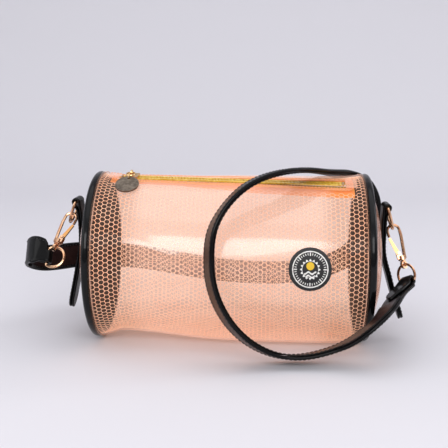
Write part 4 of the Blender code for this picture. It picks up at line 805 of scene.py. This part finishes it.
# Tabs: a strip of black coated leather folded over the straight side of each D-ring and sewn
# together, hanging down the middle of the end. Its edges are painted and stitched.
LEATHER, TAB_GAP = 0.0016, 0.0003
BORDER_FADE, SCUFF_ROUGHNESS, FACE_ROUGHNESS = 0.0005, 0.18, 0.08
TAB_HALF_WIDTH, TAB_ROLL_INNER, TAB_TIP, TAB_TIP_SHARE = 0.0075, 0.0015, 0.009, 0.2
TAB_SETTLE = 3                # radii of the roll over which the strip's two layers close
TAB_RUN_STEPS, TAB_ROLL_STEPS, STRIP_STEPS = 60, 18, 7
EDGE_THICK_SHARE, EDGE_WIDTH_SHARE = 0.95, 0.4        # the most that a strip's edge is rounded
TAB_ROW_INSET, TAB_ROW_START, TAB_ROW_LEAST, ROW_LIFT = 0.0016, 0.008, 0.0034, 0.0001
TAB_STITCH = (0.0027, 0.0019, 0.00045)
TAB_OUTS = (-0.0001, 0.0003, 0.0049, 0.0084, 0.0125, 0.0150)
TAB_PLACES = {  # roll's distance past the end, its height share, tab's swing, heights down the tab
    "right": (0.0126, 0.8055, 1.0, (0.66, 0.53, 0.39, 0.29, 0.19, 0.127)),
    "left": (0.0138, 0.8187, 0.62, (0.68, 0.55, 0.42, 0.33, 0.23, 0.164))}


def leather_finish(name, face, border, border_at, roughness):
    """Coated leather with fine grain, its folded borders darker and shinier than its face."""
    made = Finish(name, face, specular_ior_level=0.05, coat_weight=0.26, coat_roughness=0.09)
    u, _, _ = made.split(made.node("ShaderNodeUVMap", {"uv_map": "UVMap"}))
    outer = made.ramp(made.maths("ABSOLUTE", u), border_at - BORDER_FADE, border_at)
    grain = made.cells(2000, "F1")
    scuff = made.noise(140, 4.0)
    made.set("Base Color", made.blend(outer, made.blend(scuff, face, border), border))
    made.set("Roughness", roughness + SCUFF_ROUGHNESS * (scuff - 0.5) + FACE_ROUGHNESS * (1 - outer))
    made.bump(grain * 0.7 + scuff * 0.3, distance=0.00016, strength=0.4)
    return made


hide = leather_finish("tab leather", colour(9, 8, 9), colour(5, 5, 6), border_at=0.0058,
                      roughness=0.38)


def lengths_along(points):
    """How far each point lies along the line through them all."""
    steps = np.linalg.norm(np.diff(np.array(points, float), axis=0), axis=1)
    return np.concatenate([[0], np.cumsum(steps)])


def smooth_through(points, count):
    marks = lengths_along(points)
    rows = [np.concatenate([[mark], point]) for mark, point in zip(marks, points)]
    return [read_table(rows, marks[-1] * k / (count - 1))[1:] for k in range(count)]


def ease(share):
    share = min(max(share, 0.0), 1.0)
    return share * share * (3 - 2 * share)


def strip(name, stations, finish):
    """A flat strip with rounded edges along stations of centre, width, face and half sizes."""
    sections, uvs, run = [], [], 0.0
    for k, (centre, across, face, half, thick) in enumerate(stations):
        if k:
            run += np.linalg.norm(centre - stations[k - 1][0])
        edge_round = min(thick * EDGE_THICK_SHARE, half * EDGE_WIDTH_SHARE)
        outline = []
        for sign in (1, -1):
            top = [(share * (half - edge_round), thick)
                   for share in np.linspace(1, -1, STRIP_STEPS)]
            edge = [(-(half - edge_round) - edge_round * math.sin(a), thick * math.cos(a))
                    for a in np.linspace(0, math.pi, STRIP_STEPS)[1:-1]]
            outline += [(sign * a, sign * b) for a, b in top + edge]
        sections.append([centre + a * across + b * face for a, b in outline])
        uvs += [(a, run) for a, b in outline]
    return loft(name, sections, finish, uvs=uvs)


for side_name, sign in (("right", 1), ("left", -1)):
    roll_out, roll_height, swing, heights = TAB_PLACES[side_name]
    roll = np.array([sign * (HALF_LENGTH + roll_out), 0, 2 * END_RADIUS * roll_height])
    radius = TAB_ROLL_INNER + LEATHER / 2
    dome = HALF_LENGTH - END_FILM_SEAT + END_FILM_RISE
    hang_line = [roll + np.array([-sign * radius, 0, 0])]
    hang_line += [np.array([sign * (dome + TAB_GAP + swing * out + LEATHER / 2), 0,
                            2 * END_RADIUS * share]) for out, share in zip(TAB_OUTS, heights)]
    run = smooth_through(hang_line, TAB_RUN_STEPS)
    lengths = lengths_along(run)
    across = np.array([0.0, 1.0, 0.0])
    faces_out = []
    for k in range(len(run)):
        down = unit(run[min(k + 1, len(run) - 1)] - run[max(k - 1, 0)])
        out = np.cross(across, down)
        faces_out.append(out if out[0] * sign > 0 else -out)

    def half_width(mark):
        left = min((lengths[-1] - mark) / TAB_TIP, 1)
        return TAB_HALF_WIDTH * max(math.sqrt(1 - (1 - left) ** 2), TAB_TIP_SHARE)

    stations = [(run[k], across, faces_out[k], half_width(lengths[k]), LEATHER / 2)
                for k in reversed(range(len(run)))]
    for k in range(1, TAB_ROLL_STEPS):
        angle = math.pi * k / TAB_ROLL_STEPS
        away = np.array([-sign * math.cos(angle), 0, math.sin(angle)])
        stations.append((roll + radius * away, across, -away, TAB_HALF_WIDTH, LEATHER / 2))
    outer_line = []
    for k in range(len(run)):
        settle = ease(lengths[k] / (radius * TAB_SETTLE))
        apart = 2 * radius + (LEATHER + TAB_GAP - 2 * radius) * settle
        face = unit(np.array([sign, 0, 0]) * (1 - settle) + faces_out[k] * settle)
        outer = run[k] + apart * face
        outer_line.append((outer, -faces_out[k], half_width(lengths[k]), lengths[k]))
        stations.append((outer, across, -faces_out[k], half_width(lengths[k]), LEATHER / 2))
    piece = strip(f"tab_leather_{side_name}", stations, hide)
    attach(piece, "bag")
    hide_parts(f"tab_{side_name}")
    sewn_lines = []
    for edge_sign in (1, -1):
        sewn_lines.append([centre + edge_sign * (half - TAB_ROW_INSET) * across
                           - face * (LEATHER / 2 + ROW_LIFT)
                           for centre, face, half, mark in outer_line
                           if mark > TAB_ROW_START and half > TAB_ROW_LEAST])
    stitch(f"tab_stitches_{side_name}", sewn_lines, thread, "bag", TAB_STITCH)

# Rings and hooks: die-cast D-rings, swivel snap hooks with sprung gates, and strap rings that
# are round but for one flat side, all polished and plated rose gold.
rose = Finish("rose gold", colour(232, 180, 142), roughness=0.16, metallic=1.0)
rose.set("Roughness", 0.10 + 0.14 * rose.noise(260, 3.0))
rose.mottle(120, 0.35, 0.65, colour(226, 168, 130), colour(240, 196, 158))
rose.bump(rose.noise(600), distance=0.00005, strength=0.4)
bright = Finish("bright gold", colour(212, 156, 98), roughness=0.2, metallic=1.0)
bright.set("Roughness", 0.14 + 0.14 * bright.noise(260, 3.0))
for end in ("left", "right"):
    paint(rose, f"d_ring_{end}", f"hook_frame_{end}", f"hook_rivet_{end}", f"swivel_stud_{end}",
          f"strap_ring_{end}")
    paint(bright, f"hook_gate_{end}")

# Strap: a 20 mm band of black coated leather, folded round a ring at each end and sewn, with a
# dark brown lining on its inner side. It loops in front of the bag, over the top and behind it.
STRAP_WIDTH, STRAP_THICK, FOLD_WIDTH, STRAP_TAPER = 0.02, 0.0022, 0.0092, 0.008
TONGUE_LENGTH, TONGUE_WIDTH, TONGUE_TIP_WIDTH, TONGUE_TIP_LENGTH = 0.032, 0.0145, 0.002, 0.011
TONGUE_SETTLE, LINING_START, LINING_THICK, LINING_MARGIN = 0.009, 0.0345, 0.0009, 0.0008
TONGUE_GAP, LINING_GAP = 0.0003, 0.0002
BAR_TURN, BAR_TURN_STEPS, STRAP_STEP = 0.0025, 12, 0.0025
STRAP_ROW_INSET, STRAP_ROW_END, LINING_ROW_INSET, LINING_ROW_END = 0.0019, 0.006, 0.0014, 0.002
TONGUE_ROW_INSET, TONGUE_ROW_LEAST, TONGUE_ROW_SKIP = 0.0013, 0.0024, 4      # skips stations
TONGUE_STITCH = (0.0025, 0.0018, 0.00045)
STRAP_ENDS = {"right": ((0.12603, -0.01327, 0.04637), (0.60036, -0.68041, 0.42025)),
              "left": ((-0.12937, -0.02384, 0.06199), (0.0, -0.57688, -0.81683))}
# places as shares of half length and end radius, and the direction across the strap
STRAP_ROUTE = (
    ((1.2000, -0.4200, 0.6580), (0.48, -0.77, 0.42)),
    ((1.0840, -0.8950, 0.5950), (0.30, -0.87, 0.39)),
    ((0.9480, -1.2000, 0.4730), (0.20, -0.92, 0.33)),
    ((0.7950, -1.1250, 0.2640), (0.20, -0.93, 0.31)),
    ((0.6250, -1.1090, 0.1450), (0.21, -0.93, 0.30)),
    ((0.4380, -1.1150, 0.1000), (0.24, -0.93, 0.29)),
    ((0.2370, -1.1800, 0.1950), (0.27, -0.93, 0.26)),
    ((0.0800, -1.2450, 0.3900), (0.27, -0.93, 0.26)),
    ((-0.0410, -1.3080, 0.6790), (0.27, -0.93, 0.26)),
    ((-0.1000, -1.3250, 0.9520), (0.27, -0.93, 0.26)),
    ((-0.1170, -1.3080, 1.2380), (0.27, -0.93, 0.26)),
    ((-0.0970, -1.2580, 1.5260), (0.27, -0.93, 0.26)),
    ((-0.0160, -1.1590, 1.7680), (0.27, -0.93, 0.26)),
    ((0.1190, -1.0100, 1.9700), (0.30, -0.93, 0.20)),
    ((0.2760, -0.8280, 2.0700), (0.30, -0.94, 0.15)),
    ((0.4640, -0.5400, 2.0950), (0.36, -0.92, 0.12)),
    ((0.6270, -0.1660, 2.0540), (0.50, -0.86, 0.06)),
    ((0.7350, 0.1320, 2.0130), (0.64, -0.76, 0.11)),
    ((0.8310, 0.3970, 1.9580), (0.74, -0.65, 0.20)),
    ((0.9270, 0.5790, 1.8750), (0.80, -0.54, 0.26)),
    ((1.0030, 0.7620, 1.7700), (0.83, -0.52, 0.20)),
    ((1.0720, 0.9350, 1.5900), (0.84, -0.50, -0.10)),
    ((1.1000, 1.0760, 1.3250), (0.75, -0.55, -0.35)),
    ((1.0590, 1.1840, 0.9930), (0.60, -0.64, -0.47)),
    ((0.8760, 1.2580, 0.6950), (0.31, -0.72, -0.62)),
    ((0.5500, 1.2750, 0.5300), (0.10, -0.66, -0.75)),
    ((0.1020, 1.2750, 0.5050), (0.00, -0.60, -0.80)),
    ((-0.3460, 1.2580, 0.5800), (0.00, -0.55, -0.83)),
    ((-0.7640, 1.1590, 0.7120), (0.00, -0.50, -0.86)),
    ((-1.2700, 0.8280, 0.8030), (0.00, -0.40, -0.92)),
    ((-1.3880, 0.5300, 0.8300), (0.00, -0.45, -0.89)),
    ((-1.4870, 0.2650, 0.8760), (0.00, -0.52, -0.85)),
    ((-1.5230, 0.0330, 0.9620), (0.03, -0.56, -0.82)),
    ((-1.4980, -0.1700, 1.0420), (0.05, -0.57, -0.81)),
    ((-1.4200, -0.3300, 1.1000), (0.04, -0.57, -0.81)))


def square_to(vector, axis):
    axis = unit(axis)
    return unit(np.array(vector, float) - (np.array(vector, float) @ axis) * axis)


def spline(points, step):
    """A smooth curve through points of any dimension, read at about even steps of its place."""
    points = np.array(points, float)
    marks = lengths_along(points[:, :3])
    count = len(marks)
    matrix, right = np.zeros((count, count)), np.zeros((count, points.shape[1]))
    matrix[0, 0] = matrix[-1, -1] = 1
    for k in range(1, count - 1):
        before, after = marks[k] - marks[k - 1], marks[k + 1] - marks[k]
        matrix[k, k - 1:k + 2] = before, 2 * (before + after), after
        right[k] = 6 * ((points[k + 1] - points[k]) / after - (points[k] - points[k - 1]) / before)
    bend = np.linalg.solve(matrix, right)
    result = []
    for mark in np.linspace(0, marks[-1], int(round(marks[-1] / step)) + 1):
        k = min(int(np.searchsorted(marks, mark, side="right")) - 1, count - 2)
        span = marks[k + 1] - marks[k]
        a, b = (marks[k + 1] - mark) / span, (mark - marks[k]) / span
        result.append(a * points[k] + b * points[k + 1]
                      + ((a ** 3 - a) * bend[k] + (b ** 3 - b) * bend[k + 1]) * span ** 2 / 6)
    return result


route = [(np.array(place) * (HALF_LENGTH, END_RADIUS, END_RADIUS), unit(across))
         for place, across in STRAP_ROUTE]
fold_ends = {}
for end, neighbour, sign in (("right", route[0][0], 1), ("left", route[-1][0], -1)):
    centre, bar = (np.array(v) for v in STRAP_ENDS[end])
    along = sign * square_to(neighbour - centre, bar)
    fold_ends[end] = (centre, bar, along, np.cross(along, bar))
line = [np.concatenate([fold_ends["right"][0] - BAR_TURN * fold_ends["right"][3],
                        fold_ends["right"][1]])]
line += [np.concatenate(pair) for pair in route]
line.append(np.concatenate([fold_ends["left"][0] - BAR_TURN * fold_ends["left"][3],
                            fold_ends["left"][1]]))
line = spline(line, STRAP_STEP)
strap_run, strap_length = [], 0.0
for k, row in enumerate(line):
    along = unit(line[min(k + 1, len(line) - 1)][:3] - line[max(k - 1, 0)][:3])
    if k in (0, len(line) - 1):
        along = fold_ends["left" if k else "right"][2]
    across = square_to(row[3:], along)
    if k:
        strap_length += np.linalg.norm(row[:3] - line[k - 1][:3])
    strap_run.append((row[:3], across, np.cross(along, across), strap_length))


def strap_half(mark):
    near = min(mark, strap_length - mark)
    return (FOLD_WIDTH + (STRAP_WIDTH - FOLD_WIDTH) * ease(near / STRAP_TAPER)) / 2


def tongue(end):
    """Stations of a folded-back end, from the ring's bar to its tip."""
    result = []
    for centre, across, face, mark in (strap_run if end == "right" else strap_run[::-1]):
        away = mark if end == "right" else strap_length - mark
        if away > TONGUE_LENGTH:
            break
        closed = STRAP_THICK + TONGUE_GAP
        apart = closed + (2 * BAR_TURN - closed) * (1 - ease(away / TONGUE_SETTLE))
        half = (FOLD_WIDTH + (TONGUE_WIDTH - FOLD_WIDTH) * ease(away / STRAP_TAPER)) / 2
        left = TONGUE_LENGTH - away
        if left < TONGUE_TIP_LENGTH:
            half = TONGUE_TIP_WIDTH / 2 + (half - TONGUE_TIP_WIDTH / 2) * left / TONGUE_TIP_LENGTH
        result.append((centre + apart * face, across, face, half, STRAP_THICK / 2))
    return result


def bend(end):
    centre, across, along, face = fold_ends[end]
    away = -along if end == "right" else along
    spokes = [math.cos(a) * face + math.sin(a) * away
              for a in np.linspace(0, math.pi, BAR_TURN_STEPS + 1)[1:-1]]
    return [(centre + BAR_TURN * spoke, across, spoke, FOLD_WIDTH / 2, STRAP_THICK / 2)
            for spoke in spokes]


strap_hide = leather_finish("strap leather", colour(10, 9, 9), colour(5, 5, 6), border_at=0.0072,
                            roughness=0.38)
band = tongue("right")[::-1] + bend("right")
band += [(centre, across, -face, strap_half(mark), STRAP_THICK / 2)
         for centre, across, face, mark in strap_run]
band += bend("left")[::-1] + tongue("left")
strap = strip("strap_band", band, strap_hide)
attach(strap, "bag")
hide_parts("strap_leather")

lining_hide = leather_finish("strap lining", colour(62, 40, 38), colour(10, 8, 9),
                             border_at=0.0074, roughness=0.42)
inner_band = [(centre + (STRAP_THICK / 2 + LINING_GAP + LINING_THICK / 2) * face, across, face,
               strap_half(mark) - LINING_MARGIN, LINING_THICK / 2)
              for centre, across, face, mark in strap_run
              if LINING_START < mark < strap_length - LINING_START]
inner_strap = strip("strap_inner", inner_band, lining_hide)
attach(inner_strap, "bag")
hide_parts("strap_lining")


def strap_row(edge_sign, inset, lift, start):
    """A line along one edge of the strap, between places as far as start from both its ends."""
    return [centre + edge_sign * (strap_half(mark) - inset) * across + lift * face
            for centre, across, face, mark in strap_run if start < mark < strap_length - start]


strap_rows, tongue_rows = [], []
lining_out = STRAP_THICK / 2 + LINING_GAP + LINING_THICK + ROW_LIFT
for edge_sign in (1, -1):
    strap_rows.append(strap_row(edge_sign, STRAP_ROW_INSET, -STRAP_THICK / 2 - ROW_LIFT, STRAP_ROW_END))
    strap_rows.append(strap_row(edge_sign, LINING_MARGIN + LINING_ROW_INSET, lining_out,
                                LINING_START + LINING_ROW_END))
    for end in ("right", "left"):
        tongue_rows.append([centre + edge_sign * (half - TONGUE_ROW_INSET) * across
                            + face * (thick + ROW_LIFT)
                            for centre, across, face, half, thick in tongue(end)[TONGUE_ROW_SKIP:]
                            if half > TONGUE_ROW_LEAST])
stitch("strap_stitches", strap_rows, thread, "bag")
stitch("tongue_stitches", tongue_rows, thread, "bag", TONGUE_STITCH)
